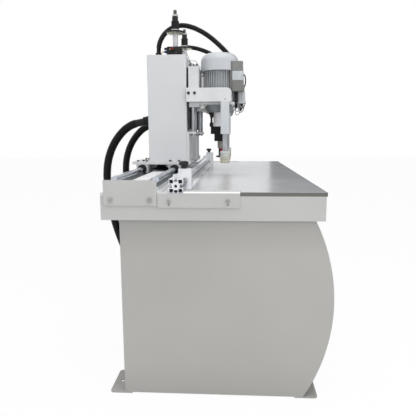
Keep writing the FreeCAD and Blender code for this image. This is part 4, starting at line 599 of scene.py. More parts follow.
def ribbedTube(name, line, spec):
    crest, valley = spec["diameter"] / 2, spec["valley"]
    total = lengthOf(line)
    plain = spec["diameter"]   # each end stays plain over this length
    step = (total - 2 * plain) / spec["ribs"]
    stops = [(0.0, valley)]
    for rib in range(spec["ribs"]):
        stops += [(plain + (rib + share) * step, crest if high else valley)
                  for share, high in ribShape]
    stops.append((total, valley))
    seats = [seat @ Matrix.Diagonal((size, size, 1, 1))
             for seat, (_, size) in zip(walk(line, [stop for stop, _ in stops]), stops)]
    bm = bmesh.new()
    ring = bmesh.ops.create_circle(bm, segments=spec["sides"], radius=1, matrix=seats[0])
    rim = list({edge for dot in ring["verts"] for edge in dot.link_edges})
    bmesh.ops.contextual_create(bm, geom=rim)
    for last, seat in zip(seats, seats[1:]):
        grown = bmesh.ops.extrude_edge_only(bm, edges=rim)["geom"]
        dots = [item for item in grown if isinstance(item, bmesh.types.BMVert)]
        rim = [item for item in grown if isinstance(item, bmesh.types.BMEdge)]
        bmesh.ops.transform(bm, matrix=seat @ last.inverted(), verts=dots)
    bmesh.ops.contextual_create(bm, geom=rim)
    return finishPiece(bm, name, None, ["hoseRubber"], crease=60)


def makeCord(kind, spec, head, node):
    own = spec[head]
    line = lineOf(routeCurve(f"{kind}Line_{head}", own["route"], spec["detail"]))
    tube = ribbedTube(f"{kind}_{head}", line, spec)
    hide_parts(node)
    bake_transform(tube)
    print(f"{tube.name}: {lengthOf(line):.3f} m along its line, {own['length']} m cut")


for head in headMiddle:
    makeCord("rearHose", hose, head, f"rear_hose_{head}")
    makeCord("topConduit", conduit, head, f"top_conduit_{head}")


# thin tubes and leads, each a round cord between two places on the same head
thinCords = {
    "airTube": {"body": "carriage", "diameter": 0.004, "finish": "clearTube",
                "route": [(0.020, 0.196, 1.4925), (0.022, 0.186, 1.4900), (0.030, 0.1800, 1.470),
                          (0.036, 0.1700, 1.4455), (0.048, 0.1560, 1.4480),
                          (0.058, 0.1420, 1.4490), (0.068, 0.1260, 1.4250),
                          (0.082, 0.1120, 1.4120), (0.084, 0.1060, 1.3980)]},
    "sideLead": {"body": "boring_unit", "diameter": 0.006, "finish": "leadRubber",
                 "route": [(-0.050, -0.1040, 1.3640), (-0.051, -0.1100, 1.3620),
                           (-0.052, -0.1150, 1.3500), (-0.052, -0.1160, 1.3340),
                           (-0.051, -0.1150, 1.3180), (-0.050, -0.1120, 1.3060),
                           (-0.049, -0.1060, 1.3020)]},
    "lowLead": {"body": "boring_unit", "diameter": 0.003, "finish": "leadRubber",
                "route": [(-0.020, -0.0700, 1.2320), (-0.022, -0.0680, 1.2160),
                          (-0.026, -0.0640, 1.1980), (-0.030, -0.0700, 1.1840),
                          (-0.032, -0.0820, 1.1860), (-0.030, -0.0920, 1.2000),
                          (-0.026, -0.0950, 1.2140), (-0.024, -0.0960, 1.2280)]},
    "foldedLead": {"body": "boring_unit", "diameter": 0.004, "finish": "leadRubber",
                   "route": [(-0.012, -0.0860, 1.2300), (-0.014, -0.0850, 1.2160),
                             (-0.020, -0.0880, 1.2020), (-0.027, -0.0980, 1.2000),
                             (-0.031, -0.1100, 1.2080), (-0.030, -0.1160, 1.2240),
                             (-0.026, -0.1150, 1.2380), (-0.022, -0.1100, 1.2440)]},
}
thinDetail, thinRound = 16, 4   # steps along each part of a thin cord, and round a quarter of it


def makeThinCord(kind, head):
    spec = thinCords[kind]
    route = [(x + headMiddle[head], y, z) for x, y, z in spec["route"]]
    line = lineOf(routeCurve(f"{kind}Line_{head}", route, thinDetail))
    curve = routeCurve(f"{kind}_{head}", route, thinDetail)
    curve.bevel_depth = spec["diameter"] / 2
    curve.bevel_resolution = thinRound
    curve.use_fill_caps = True
    curve.materials.append(finishes[spec["finish"]])
    tube = bpy.data.objects.new(curve.name, curve)
    bpy.context.scene.collection.objects.link(tube)
    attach(tube, f"{spec['body']}_{head}")


for head in headMiddle:
    for kind in thinCords:
        makeThinCord(kind, head)
print("hoses, conduits, tubes and leads laid")


# finishes of the nodes that keep their own shape: one of a kind, then on each head
frameNodes = {
    "base_cabinet": "basePaint", "base_rear_panel": "basePaint", "table_frame": "framePaint",
    "table_top": "tableLaminate", "rail_bed": "bedPaint", "guide_rails": "chromeBar",
    "end_plates": "endPlatePaint", "fence_beam": "beamAluminium",
    "fence_stop_left": "stopAluminium", "fence_stop_right": "stopAluminium",
    "stop_knob_left": "knobPlastic", "stop_knob_right": "knobPlastic",
}
headNodes = {
    "column_cover": "whitePaint", "slide_guides": "guideSteel", "guide_housing": "castWhite",
    "clamp_cylinders": "clampAluminium", "motor_carrier": "whitePaint",
    "lift_cylinder": "clampAluminium", "motor": "motorPaint", "fan_cover": "coverPaint",
    "carriage_plate": "carriage", "bearing_blocks": "bearing", "clamp_bracket": "bracket",
    "gearbox": "bellAndCase", "spindle_centre": "centreSpindle", "spindle_left": "sideSpindle",
    "spindle_right": "sideSpindle",
}


def dress(node, finish):
    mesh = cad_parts[node].data
    if not mesh.materials:
        mesh.materials.append(finish)
    for index in range(len(mesh.materials)):
        mesh.materials[index] = finish


for node, finish in frameNodes.items():
    dress(node, finishes[finish])
for head in headMiddle:
    for node, finish in headNodes.items():
        dress(f"{node}_{head}", headFinishes[head].get(finish) or finishes[finish])
print("nodes dressed")


# hose collar, conduit gland and air plugs, on the column and the guide housing
fittings = {
    "collar": {"place": (0, 0.411, 1.137), "tilt": 9, "parts": [
        {"steps": 44, "profile": solid(
            (0.025, -0.048), (0.025, -0.018), (0.023, -0.017), (0.023, -0.0145),
            (0.025, -0.0135), (0.025, -0.0105), (0.023, -0.0095), (0.023, -0.007),
            (0.025, -0.006), (0.0248, -0.002), (0.0225, 0), (0.0195, 0), (0.0188, -0.0012))},
        {"flats": 8, "radius": 0.026 / math.cos(math.pi / 8), "reach": (-0.040, -0.026),
         "edge": 0.0008}]},
    "gland": {"place": (0.045, 0.333), "parts": [
        {"flats": 6, "radius": 0.0165, "reach": (1.456, 1.4635), "edge": 0.0007},
        {"steps": 32, "profile": solid((0.0142, 1.463), (0.0142, 1.470), (0.0125, 1.471))},
        {"flats": 12, "radius": 0.016005, "reach": (1.4705, 1.478), "edge": 0.0005},
        {"steps": 36, "profile": solid((0.0165, 1.4775), (0.0165, 1.4860), (0.0153, 1.4875),
                                       (0.0135, 1.488))}]},
    "airPlugs": {"x": (-0.069, 0.069), "y": (0.1262, 0.1415, 0.1568), "z": 1.399, "parts": [
        {"flats": 6, "radius": 0.0070, "reach": (0, 0.0060), "finish": 1},
        {"steps": 20, "finish": 1, "profile": solid((0.0060, 0.0055), (0.0062, 0.0115),
                                                    (0.0052, 0.0125))},
        {"steps": 20, "finish": 2, "profile": solid((0.0046, 0.012), (0.0047, 0.0148),
                                                    (0.0042, 0.0158), (0.0026, 0.0158),
                                                    (0.0024, 0.013))}]},
}


def makeFittings(head):
    collar, gland, plugs = fittings["collar"], fittings["gland"], fittings["airPlugs"]
    bm = bmesh.new()
    tilt = math.radians(collar["tilt"])
    stack(bm, collar["parts"],
          headSeat(head, *collar["place"], towards=(0, math.cos(tilt), -math.sin(tilt))))
    stack(bm, gland["parts"], headSeat(head, *gland["place"]))
    for x in plugs["x"]:
        for y in plugs["y"]:
            stack(bm, plugs["parts"], headSeat(head, x, y, plugs["z"]))
    piece = finishPiece(bm, f"fittings_{head}", f"carriage_{head}",
                        ["blackPlastic", "fittingGrey", "sealRubber"])
    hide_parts(f"hose_fittings_{head}")


# the air tube's two ends: a plug on the depth stop's block and an elbow on the housing
tubeEnds = {
    "plug": {"place": (0.020, 0.2068, 1.4925), "towards": (0, -1, 0), "parts": [
        {"flats": 6, "radius": 0.0060, "reach": (0, 0.005)},
        {"steps": 20, "finish": 1, "profile": solid((0.0048, 0.0045), (0.0050, 0.0105),
                                                    (0.0042, 0.0118))}]},
    "elbowRoot": {"place": (0.084, 0.1148, 1.3880), "towards": (0, -1, 0), "parts": [
        {"flats": 6, "radius": 0.0058, "reach": (0, 0.004)},
        {"steps": 20, "finish": 1, "profile": solid((0.0044, 0.0035), (0.0044, 0.0125),
                                                    (0.0036, 0.0135))}]},
    "elbow": {"place": (0.084, 0.1060, 1.3850), "towards": None, "parts": [
        {"steps": 20, "finish": 1, "profile": [(0, 0), (0.0044, 0.0008), (0.0046, 0.010),
                                               (0.0040, 0.0128), (0, 0.0128)]}]},
}


def makeTubeEnds(head):
    bm = bmesh.new()
    for end in tubeEnds.values():
        stack(bm, end["parts"], headSeat(head, *end["place"], towards=end["towards"]))
    finishPiece(bm, f"tubeEnds_{head}", f"carriage_{head}",
                ["nickel", "whiteSteel"])


# lip seals at both ends of each rail bearing
seals = {"x": 0.1195, "y": (0.238, 0.402), "z": 0.898, "lip": [
    (0.0132, 0), (0.0222, 0), (0.0230, 0.0006), (0.0230, 0.0022), (0.0218, 0.0032),
    (0.0180, 0.0034), (0.0172, 0.0026), (0.0150, 0.0026), (0.0138, 0.0038), (0.0132, 0.0036),
    (0.0132, 0)]}


def makeSeals(head):
    bm = bmesh.new()
    for side in (-1, 1):
        for y in seals["y"]:
            turned(bm, seals["lip"], headSeat(head, side * seals["x"], y, seals["z"],
                                              (side, 0, 0)), 44)
    finishPiece(bm, f"railSeals_{head}", f"carriage_{head}", ["sealRubber"])


# screws in the column's lid, and the plate screws that hold the clamp cylinders
lidScrews = {"x": (-0.088, 0.088), "y": (0.190, 0.355), "z": 1.4558, "radius": 0.0045}
plateScrews = {"x": 0.1149, "y": -0.0153, "z": 1.2415, "radius": 0.0034}


def makeLidScrews(head):
    bm = bmesh.new()
    for x in lidScrews["x"]:
        for y in lidScrews["y"]:
            panScrew(bm, headSeat(head, x, y, lidScrews["z"]), lidScrews["radius"])
    for side in (-1, 1):
        seat = headSeat(head, side * plateScrews["x"], plateScrews["y"], plateScrews["z"],
                        (side, 0, 0))
        panScrew(bm, seat, plateScrews["radius"])
    finishPiece(bm, f"lidScrews_{head}", f"carriage_{head}", ["nickel"])


# terminal box with its lid, blank plates, lower boxes and the elbow that the conduit enters
terminal = {
    "finishes": ("boxPaint", "sealRubber", "nickel", "barePlate", "lowerBoxPaint",
                 "blackPlastic"),
    # low corner, high corner, rounding and finish of each block
    "shell": ((-0.075, -0.0470, 1.281), (0.075, -0.0400, 1.426), 0.0022, 0),
    "seal": ((-0.0738, -0.0486, 1.2822), (0.0738, -0.0460, 1.4248), 0.0003, 1),
    "lid": ((-0.075, -0.1090, 1.281), (0.075, -0.0484, 1.426), 0.003, 0),
    "leftPlate": ((-0.0757, -0.1035, 1.3345), (-0.0746, -0.0500, 1.3775), 0.0003, 3),
    "rightPlate": ((0.0746, -0.1035, 1.3345), (0.0757, -0.0500, 1.3775), 0.0003, 3),
    "frontPlate": ((-0.063, -0.1065, 1.3345), (0.063, -0.1025, 1.3775), 0.0003, 3),
    "lowerBox": ((-0.034, -0.1160, 1.2245), (0.034, -0.0785, 1.2815), 0.003, 4),
    "lowerSeam": ((-0.0342, -0.1000, 1.2300), (0.0342, -0.0990, 1.2790), 0.0002, 1),
    "blackBox": ((-0.052, -0.0780, 1.2290), (0.052, -0.0660, 1.2812), 0.0015, 5),
    "lean": 0.007, "leanDepth": 0.01,   # how far the lid's front leans back, and its depth
    "screws": {"x": (-0.065, 0.065), "z": (1.291, 1.416), "proud": 0.0006, "radius": 0.0036},
    "plugs": {"x": (-0.02, 0.02), "y": -0.098, "z": 1.2248, "parts": [
        {"steps": 20, "finish": 5, "profile": solid((0.0072, 0), (0.0072, 0.006), (0.006, 0.007),
                                                    (0.006, 0.012), (0.0045, 0.014))}]},
    "elbowRoot": {"place": (0.074, -0.063, 1.3470), "parts": [
        {"flats": 6, "radius": 0.0150, "reach": (0, 0.005), "edge": 0.0006, "finish": 5},
        {"steps": 28, "finish": 5, "profile": solid((0.0118, 0.004), (0.0118, 0.017))}]},
    "elbow": {"place": (0.091, -0.063), "parts": [
        {"steps": 32, "finish": 5, "profile": [
            (0, 1.3335), (0.0070, 1.3340), (0.0112, 1.3370), (0.0128, 1.342), (0.0128, 1.352),
            (0.0148, 1.3535), (0.0148, 1.3610), (0.0136, 1.366), (0, 1.366)]}]},
}


def lidLean(z):
    (_, _, bottom), (_, _, top), *_ = terminal["lid"]
    return terminal["lean"] * (z - bottom) / (top - bottom)


def makeTerminalBox(head):
    spec = terminal
    bm = bmesh.new()
    middle = headSeat(head, 0, 0)
    for name in ("shell", "seal", "leftPlate", "rightPlate", "frontPlate", "lowerBox",
                 "lowerSeam", "blackBox"):
        brick(bm, *spec[name], middle)
    (_, front, _), *_ = spec["lid"]
    for dot in brick(bm, *spec["lid"], middle, segments=3):
        if dot.co.y < front + spec["leanDepth"]:
            dot.co.y += lidLean(dot.co.z)
    screws = spec["screws"]
    for x in screws["x"]:
        for z in screws["z"]:
            y = front + lidLean(z) + screws["proud"]
            panScrew(bm, headSeat(head, x, y, z, (0, -1, 0.05)), screws["radius"], 2)
    plugs = spec["plugs"]
    for x in plugs["x"]:
        stack(bm, plugs["parts"], headSeat(head, x, plugs["y"], plugs["z"], (0, 0, -1)))
    root, elbow = spec["elbowRoot"], spec["elbow"]
    stack(bm, root["parts"], headSeat(head, *root["place"], towards=(1, 0, 0)))
    stack(bm, elbow["parts"], headSeat(head, *elbow["place"]))
    piece = finishPiece(bm, f"terminalBox_{head}", f"boring_unit_{head}",
                        spec["finishes"])
    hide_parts(f"terminal_box_{head}")


# motor: cover screws, bolts under the carrier, the joint under the cover and two buffers
motorTrim = {
    "firstAngle": 45,
    "screws": {"ring": 0.0942, "z": 1.3945, "radius": 0.0036},
    "bolts": {"ring": 0.092, "z": 1.2175, "parts": [
        {"steps": 24, "profile": solid((0.0085, 0), (0.0085, -0.0012))},
        {"flats": 6, "radius": 0.0072, "reach": (-0.0075, -0.001), "edge": 0.0005}]},
    "joint": [{"steps": 72, "finish": 1, "profile": [
        (0.0925, 1.3826), (0.0934, 1.3826), (0.0934, 1.3850), (0.0925, 1.3850),
        (0.0925, 1.3826)]}],
    "buffers": {"x": (-0.070, 0.070), "y": 0.0985, "parts": [
        {"steps": 32, "finish": 2, "profile": solid(
            (0.0100, 1.2175), (0.0100, 1.2140), (0.0128, 1.2132), (0.0132, 1.2100),
            (0.0128, 1.1990), (0.0108, 1.1965))}]},
}


def makeMotorTrim(head):
    screws, bolts, buffers = (motorTrim[kind] for kind in ("screws", "bolts", "buffers"))
    bm = bmesh.new()
    for step in range(4):
        angle = math.radians(motorTrim["firstAngle"] + 90 * step)
        away = Vector((math.cos(angle), math.sin(angle), 0))
        x, y, _ = away * screws["ring"]
        panScrew(bm, headSeat(head, x, motorY + y, screws["z"], away), screws["radius"])
        x, y, _ = away * bolts["ring"]
        stack(bm, bolts["parts"], headSeat(head, x, motorY + y, bolts["z"]))
    stack(bm, motorTrim["joint"], headSeat(head, 0, motorY))
    for x in buffers["x"]:
        stack(bm, buffers["parts"], headSeat(head, x, buffers["y"]))
    finishPiece(bm, f"motorTrim_{head}", f"boring_unit_{head}",
                ["nickel", "sealRubber", "creamWhite"])


# black line fitting that drops from the bell's edge to the adapter
bellFitting = {
    "x": -0.020, "y": 0.0560, "sideHeight": 1.1765,
    "drop": [
        {"steps": 30, "profile": solid(
            (0.0088, 1.1092), (0.0100, 1.1110), (0.0102, 1.1240), (0.0088, 1.1290),
            (0.0056, 1.1310), (0.0050, 1.1420), (0.0056, 1.1520), (0.0074, 1.1560),
            (0.0078, 1.1640), (0.0090, 1.1660), (0.0090, 1.1800), (0.0080, 1.1808))},
        {"flats": 6, "radius": 0.0104, "reach": (1.1650, 1.1710), "edge": 0.0005}],
    "side": [
        {"steps": 20, "profile": solid((0.0056, 0), (0.0056, 0.0125), (0.0048, 0.0140))},
        {"steps": 20, "finish": 1, "profile": solid((0.0040, 0.0136), (0.0040, 0.0165))}],
}


def makeBellFitting(head):
    spec = bellFitting
    bm = bmesh.new()
    stack(bm, spec["drop"], headSeat(head, spec["x"], spec["y"]))
    stack(bm, spec["side"], headSeat(head, spec["x"], spec["y"], spec["sideHeight"], (0, 1, 0)))
    finishPiece(bm, f"bellFitting_{head}", f"boring_unit_{head}",
                ["blackPlastic", "nickel"])


# set screws in the chucks; each chuck's place from the motor's axis, and its radius
chucks = {"centre": (0, 0, 0.0105), "left": (-0.0225, -0.0095, 0.0095),
          "right": (0.0225, -0.0095, 0.0095)}
chuckScrews = {"z": (1.008, 1.022), "sunk": 0.0008, "radius": 0.0026, "height": 0.0014}


def makeChuckScrews(head):
    spec = chuckScrews
    for name, (x, y, radius) in chucks.items():
        bm = bmesh.new()
        for z in spec["z"]:
            seat = headSeat(head, x, motorY + y - radius + spec["sunk"], z, (0, -1, 0))
            capScrew(bm, seat, spec["radius"], spec["height"])
        finishPiece(bm, f"chuckScrews{name.capitalize()}_{head}", f"spindle_{name}_{head}",
                    ["blackIron"])


# hold-down plungers: ground rod with its piston, and clear foot with three grooves
plunger = {
    "x": {"left": -0.109, "right": 0.109}, "y": -0.015,
    "rod": [{"steps": 36, "profile": solid((0.0125, 0.941), (0.0135, 0.942), (0.0135, 1.194),
                                           (0.0162, 1.1945), (0.0162, 1.206))}],
    "foot": 0.0245, "footLow": 0.929, "footHigh": 0.988, "bore": 0.0135,
    "grooves": 3, "firstGroove": 0.012, "groovePitch": 0.013, "grooveDepth": 0.0016,
    "footSteps": 44,
}


def footProfile(spec):
    wide, low, high, bore = (spec[key] for key in ("foot", "footLow", "footHigh", "bore"))
    depth = spec["grooveDepth"]
    profile = [(wide - 0.0045, low), (wide - 0.0012, low + 0.0012), (wide, low + 0.0045)]
    for groove in range(spec["grooves"]):
        start = low + spec["firstGroove"] + spec["groovePitch"] * groove
        profile += [(wide, start), (wide - depth, start + 0.0016),
                    (wide - depth, start + 0.0044), (wide, start + 0.006)]
    return solid(*profile, (wide, high - 0.004), (wide - 0.0015, high - 0.001),
                 (wide - 0.004, high), (bore + 0.0035, high), (bore + 0.0006, high - 0.0025),
                 (bore + 0.0006, low + 0.0122))


def makePlunger(side, head):
    seat = headSeat(head, plunger["x"][side], plunger["y"])
    bm = bmesh.new()
    stack(bm, plunger["rod"], seat)
    turned(bm, footProfile(plunger), seat, plunger["footSteps"], finish=1)
    piece = finishPiece(bm, f"clampPlunger{side.capitalize()}_{head}", f"clamp_{side}_{head}",
                        ["groundSteel", "clearFoot"])
    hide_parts(f"clamp_plunger_{side}_{head}")


# rail brake: the stepped pad under the carriage, toothed round its edge
brake = {
    "y": 0.320, "pad": [{"steps": 64, "profile": solid(
        (0.047, 0.8902), (0.0505, 0.8909), (0.052, 0.8930), (0.0515, 0.8954), (0.0490, 0.8970),
        (0.0310, 0.8978), (0.0290, 0.8987), (0.0282, 0.9030), (0.0262, 0.9046),
        (0.0215, 0.9050), (0.0205, 0.9062), (0.0200, 0.9108), (0.0188, 0.9120),
        (0.0170, 0.9120), (0.0164, 0.9110), (0.0164, 0.9025), (0.008, 0.9025),
        (0.008, 0.9355))}],
    "teeth": 24, "tooth": ((0.0507, -0.0022, 0.8914), (0.0522, 0.0022, 0.8950), 0.0004),
}


def makeBrake(head):
    seat = headSeat(head, 0, brake["y"])
    bm = bmesh.new()
    stack(bm, brake["pad"], seat)
    for place in around(seat, brake["teeth"]):
        brick(bm, *brake["tooth"], seat=place, segments=1)
    piece = finishPiece(bm, f"railBrake_{head}", f"brake_{head}", ["blackIron"])
    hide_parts(f"carriage_brake_{head}")


# depth stop: block, post, scale disc and air fittings
depthStop = {
    "finishes": ("blackIron", "nickel", "whiteSteel", "zincYellow", "redRelease", "blueRelease",
                 "creamPlastic", "fittingGrey"),
    # low corner, high corner and rounding of the block and of the flange under it
    "block": ((-0.034, 0.206, 1.456), (0.034, 0.280, 1.506), 0.0045),
    "flange": ((-0.035, 0.205, 1.456), (0.035, 0.281, 1.462), 0.001),
    "screws": {"x": (-0.025, 0.025), "y": (0.214, 0.272), "z": 1.5045, "radius": 0.0042,
               "height": 0.0030},
    "post": [
        {"steps": 36, "finish": 2, "profile": solid(
            (0.0185, 1.504), (0.0185, 1.509), (0.0165, 1.511), (0.013, 1.511),
            (0.013, 1.5665), (0.0165, 1.5685), (0.0165, 1.572))},
        {"steps": 72, "finish": 3, "profile": solid(
            (0.022, 1.5712), (0.024, 1.5719), (0.036, 1.5722), (0.044, 1.5740),
            (0.044, 1.576))},
        {"steps": 72, "profile": [
            (0, 1.5750), (0.0438, 1.5746), (0.0462, 1.5746), (0.047, 1.5754),
            (0.047, 1.5816), (0.0456, 1.583), (0, 1.583)]}],
    "notches": 60, "notch": ((0.0464, -0.0010, 1.5762), (0.0473, 0.0010, 1.5808), 0.0003),
    "ticks": 36, "longTick": ((0.0394, -0.00035, 1.5827), (0.0436, 0.00035, 1.58322), 0.0001),
    "shortTick": ((0.0412, -0.00035, 1.5827), (0.0436, 0.00035, 1.58322), 0.0001),
    "sideX": -0.033, "backY": 0.279,
    # across the machine, height, finish and radius of each fitting on the block's side
    "lines": ((0.2490, 1.4935, "redRelease", 0.0080), (0.2610, 1.4905, "creamPlastic", 0.0040),
              (0.2300, 1.4745, "fittingGrey", 0.0042)),
    # along the machine, height, finish and end of each push-in fitting on the block's back
    "backs": ((-0.026, 1.4815, "blueRelease", "creamPlastic"),
              (-0.024, 1.4960, "blackIron", None), (0.004, 1.4850, "blueRelease", None)),
}


def sideFitting(radius, finish):
    return [
        {"flats": 6, "radius": radius * 1.02, "reach": (0, 0.0042)},
        {"steps": 22, "profile": solid((radius * 0.94, 0.004), (radius * 0.94, 0.0095),
                                       (radius * 0.86, 0.0105))},
        {"steps": 22, "finish": finish, "profile": solid(
            (radius * 0.62, 0.0102), (radius * 0.62, 0.0138), (radius * 0.36, 0.0142),
            (radius * 0.32, 0.0120))}]


def backFitting(finish, end):
    parts = [
        {"flats": 6, "radius": 0.0066, "reach": (0, 0.0040)},
        {"steps": 24, "finish": finish, "profile": solid((0.0060, 0.0035), (0.0060, 0.0120),
                                                         (0.0050, 0.0134))}]
    if end is not None:
        parts.append({"steps": 24, "finish": end, "profile": solid(
            (0.0044, 0.0128), (0.0044, 0.0250), (0.0036, 0.0262))})
    return parts


def makeDepthStop(head):
    spec = depthStop
    index = {name: place for place, name in enumerate(spec["finishes"])}
    bm = bmesh.new()
    brick(bm, *spec["block"], seat=headSeat(head, 0, 0), segments=3)
    brick(bm, *spec["flange"], seat=headSeat(head, 0, 0))
    screws = spec["screws"]
    for x in screws["x"]:
        for y in screws["y"]:
            capScrew(bm, headSeat(head, x, y, screws["z"]), screws["radius"],
                     screws["height"], index["nickel"])
    seat = headSeat(head, 0, depthY)
    stack(bm, spec["post"], seat)
    for place in around(seat, spec["notches"]):
        brick(bm, *spec["notch"], seat=place, segments=1)
    for step, place in enumerate(around(seat, spec["ticks"])):
        tick = spec["shortTick" if step % 3 else "longTick"]
        brick(bm, *tick, index["whiteSteel"], place, 1)
    for y, z, name, radius in spec["lines"]:
        stack(bm, sideFitting(radius, index[name]),
              headSeat(head, spec["sideX"], y, z, (-1, 0, 0)))
    for x, z, name, end in spec["backs"]:
        stack(bm, backFitting(index[name], index.get(end)),
              headSeat(head, x, spec["backY"], z, (0, 1, 0)))
    piece = finishPiece(bm, f"depthStop_{head}", f"carriage_{head}",
                        spec["finishes"])
    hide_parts(f"depth_stop_{head}")


# stop knobs: a six-lobed domed grip over its hub and stud
knob = {
    "x": {"left": -0.979, "right": 0.720}, "y": 0.136,
    "stem": [
        {"steps": 24, "finish": 1, "profile": solid((0.0034, 0.9203), (0.004, 0.9209),
                                                    (0.004, 0.9367))},
        {"steps": 40, "profile": solid((0.0105, 0.9365), (0.0110, 0.9373), (0.0098, 0.9458),
                                       (0.0100, 0.9488))}],
    "radius": 0.021, "steps": 72, "lobes": 6,
    "dip": 0.13,   # how far the grip dips between its lobes, as a share of its radius
    "grip": [(0, 0.9483), (0.0125, 0.9486), (0.0172, 0.9504), (0.0200, 0.9534),
             (0.021, 0.9568), (0.0203, 0.9604), (0.0176, 0.9634), (0.0120, 0.9654),
             (0.0060, 0.9662), (0.0052, 0.9656), (0, 0.9656)],
}


def makeKnob(side):
    spec = knob
    x, y = spec["x"][side], spec["y"]
    seat = seatAt(x, y)
    bm = bmesh.new()
    stack(bm, spec["stem"], seat)
    for dot in turned(bm, spec["grip"], seat, spec["steps"]):
        out = dot.co - Vector((x, y, 0))
        far = math.hypot(out.x, out.y) / spec["radius"]
        lobe = (1 - math.cos(spec["lobes"] * math.atan2(out.y, out.x))) / 2
        dip = spec["dip"] * far ** 3 * lobe
        dot.co.x -= out.x * dip
        dot.co.y -= out.y * dip
    piece = finishPiece(bm, f"stopKnob{side.capitalize()}", f"stop_knob_{side}",
                        ["knobPlastic", "groundSteel"])
    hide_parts(f"stop_knob_{side}")


makeKnob("left")
makeKnob("right")


# knurled sleeve on its threaded stud, between a washer and a lock nut
sleeve = {
    "parts": [
        {"steps": 40, "finish": 1, "profile": solid((0.0212, 1.5833), (0.022, 1.5842),
                                                    (0.022, 1.5908), (0.0212, 1.592))},
        {"steps": 56, "profile": solid(
            (0.0183, 1.592), (0.0195, 1.5932), (0.0195, 1.5970), (0.0184, 1.5976),
            (0.0184, 1.6278), (0.0195, 1.6284), (0.0195, 1.6328), (0.0181, 1.634),
            (0.0154, 1.6342), (0.015, 1.6352), (0.015, 1.6538), (0.0138, 1.655))},
        {"flats": 6, "radius": 0.0155, "reach": (1.655, 1.664), "edge": 0.0008, "finish": 1},
        {"steps": 24, "finish": 2, "profile": solid((0.008, 1.401), (0.0086, 1.403),
                                                    (0.0086, 1.584))}],
    "flutes": 40, "flute": ((0.0181, -0.0009, 1.5986), (0.0194, 0.0009, 1.6268), 0.0004),
    # the thread that shows above the sleeve: its crest and root, pitch, low and top ends
    "crest": 0.009, "root": 0.0081, "pitch": 0.0018, "low": 1.655, "top": 1.686,
    "point": 0.0074, "pointHeight": 0.0022, "threadSteps": 30,
}


def threadProfile(spec):
    pitch, top = spec["pitch"], spec["top"]
    profile, height = [(0, spec["low"])], spec["low"] + 0.001
    while height + pitch < top - spec["pointHeight"]:
        profile += [(spec["root"], height), (spec["crest"], height + pitch / 2)]
        height += pitch
    return [*profile, (spec["root"], height), (spec["point"], top), (0, top)]


def makeSleeve(head):
    spec = sleeve
    seat = headSeat(head, 0, depthY)
    bm = bmesh.new()
    stack(bm, spec["parts"], seat)
    for place in around(seat, spec["flutes"]):
        brick(bm, *spec["flute"], seat=place, segments=1)
    turned(bm, threadProfile(spec), seat, spec["threadSteps"], finish=2)
    piece = finishPiece(bm, f"depthSleeve_{head}", f"depth_sleeve_{head}",
                        ["blackIron", "nickel", "toolSteel"])
    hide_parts(f"depth_sleeve_{head}")


for head in headMiddle:
    for make in (makeFittings, makeTubeEnds, makeSeals, makeLidScrews, makeTerminalBox,
                 makeMotorTrim, makeBellFitting, makeChuckScrews, makeBrake, makeDepthStop,
                 makeSleeve):
        make(head)
    makePlunger("left", head)
    makePlunger("right", head)
    print("head", head, "fitted")


# studio: pale floor, white surround and soft lamps
studio = {
    "ambient": 0.52,
    "floorTone": (244, 244, 244), "floorRough": 0.9, "floorGlow": 0.95, "floorSize": 20,
    "lamps": {
        "overhead": {"place": (-1.7, -0.3, 4.3), "aim": (-0.4, 0, 0.8), "size": 3.0,
                     "power": 104},
        "left": {"place": (-4.2, 2.4, 2.6), "aim": (-0.4, 0.1, 0.9), "size": 2.6, "power": 10},
        "right": {"place": (-3.2, -3.4, 1.5), "aim": (-0.8, -0.3, 0.5), "size": 2.0,
                  "power": 30},
    },
    # a dark flag that only polished surfaces see: it gives the table top its grey side
    "flag": {"x": 3.5, "right": -0.538, "wide": 4.2, "tall": 7.0, "tone": 0.03},
}


def makeWorld():
    world = bpy.data.worlds.new("surround")
    bpy.context.scene.world = world
    world.use_nodes = True
    tree = world.node_tree
    sky = tree.nodes["Background"]
    sky.inputs["Color"].default_value = (1, 1, 1, 1)
    rays = addNode(tree, "LightPath").outputs
    seen = rays["Is Camera Ray"]
    for kind in ("Is Glossy Ray", "Is Transmission Ray"):
        seen = addNode(tree, "Math", {0: seen, 1: rays[kind]}, operation="MAXIMUM").outputs[0]
    level = addNode(tree, "MapRange", {"Value": seen, "To Min": studio["ambient"],
                                       "To Max": 1.0})
    tree.links.new(level.outputs[0], sky.inputs["Strength"])


def stagePlane(name, size, finish, seat):
    bm = bmesh.new()
    bmesh.ops.create_grid(bm, x_segments=1, y_segments=1, size=size, matrix=seat)
    mesh = bpy.data.meshes.new(name)
    bm.to_mesh(mesh)
    bm.free()
    mesh.materials.append(finish)
    plane = bpy.data.objects.new(name, mesh)
    bpy.context.scene.collection.objects.link(plane)
    return plane


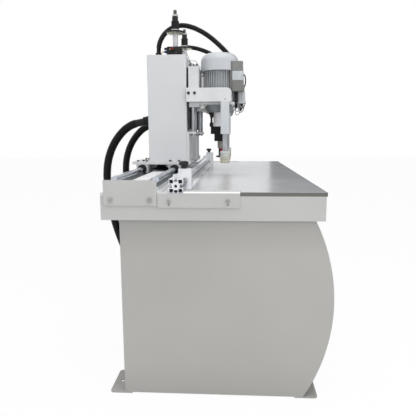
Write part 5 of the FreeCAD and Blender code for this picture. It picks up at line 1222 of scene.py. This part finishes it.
def makeFloor():
    paper = bpy.data.materials.new("paper")
    paper.use_nodes = True
    tree = paper.node_tree
    shader = tree.nodes["Principled BSDF"]
    shader.inputs["Base Color"].default_value = (*linear(studio["floorTone"]), 1)
    shader.inputs["Roughness"].default_value = studio["floorRough"]
    rays = addNode(tree, "LightPath").outputs
    seen = addNode(tree, "Math", {0: rays["Is Camera Ray"], 1: rays["Is Glossy Ray"]},
                   operation="MAXIMUM")
    share = addNode(tree, "Math", {0: seen.outputs[0], 1: studio["floorGlow"]},
                    operation="MULTIPLY")
    glow = addNode(tree, "Emission")
    mix = addNode(tree, "MixShader", {0: share.outputs[0], 1: shader.outputs[0],
                                      2: glow.outputs[0]})
    tree.links.new(mix.outputs[0], tree.nodes["Material Output"].inputs["Surface"])
    stagePlane("floor", studio["floorSize"], paper, Matrix.Identity(4))


def makeFlag():
    spec = studio["flag"]
    cloth = bpy.data.materials.new("flagCloth")
    cloth.use_nodes = True
    tree = cloth.node_tree
    glow = addNode(tree, "Emission", {"Color": (spec["tone"],) * 3 + (1,)})
    tree.links.new(glow.outputs[0], tree.nodes["Material Output"].inputs["Surface"])
    wide, tall = spec["wide"], spec["tall"]
    seat = (Matrix.Translation((spec["x"], spec["right"] - wide / 2, tall / 2))
            @ Matrix.Rotation(math.radians(90), 4, "Y") @ Matrix.Diagonal((tall, wide, 1, 1)))
    flag = stagePlane("flag", 0.5, cloth, seat)   # a metre across before its seat stretches it
    flag.visible_camera = False
    flag.visible_diffuse = False
    flag.visible_shadow = False
    flag.visible_transmission = False


def makeLamps():
    for name, spec in studio["lamps"].items():
        lamp = bpy.data.lights.new(name, "AREA")
        lamp.shape = "SQUARE"
        lamp.size = spec["size"]
        lamp.energy = spec["power"]
        body = bpy.data.objects.new(name, lamp)
        place = Vector(spec["place"])
        body.rotation_mode = "QUATERNION"
        body.location = place
        body.rotation_quaternion = (Vector(spec["aim"]) - place).to_track_quat("-Z", "Y")
        body.visible_glossy = False
        bpy.context.scene.collection.objects.link(body)


makeWorld()
makeFloor()
makeFlag()
makeLamps()
bpy.context.scene.view_settings.view_transform = "Standard"
print("studio lit")
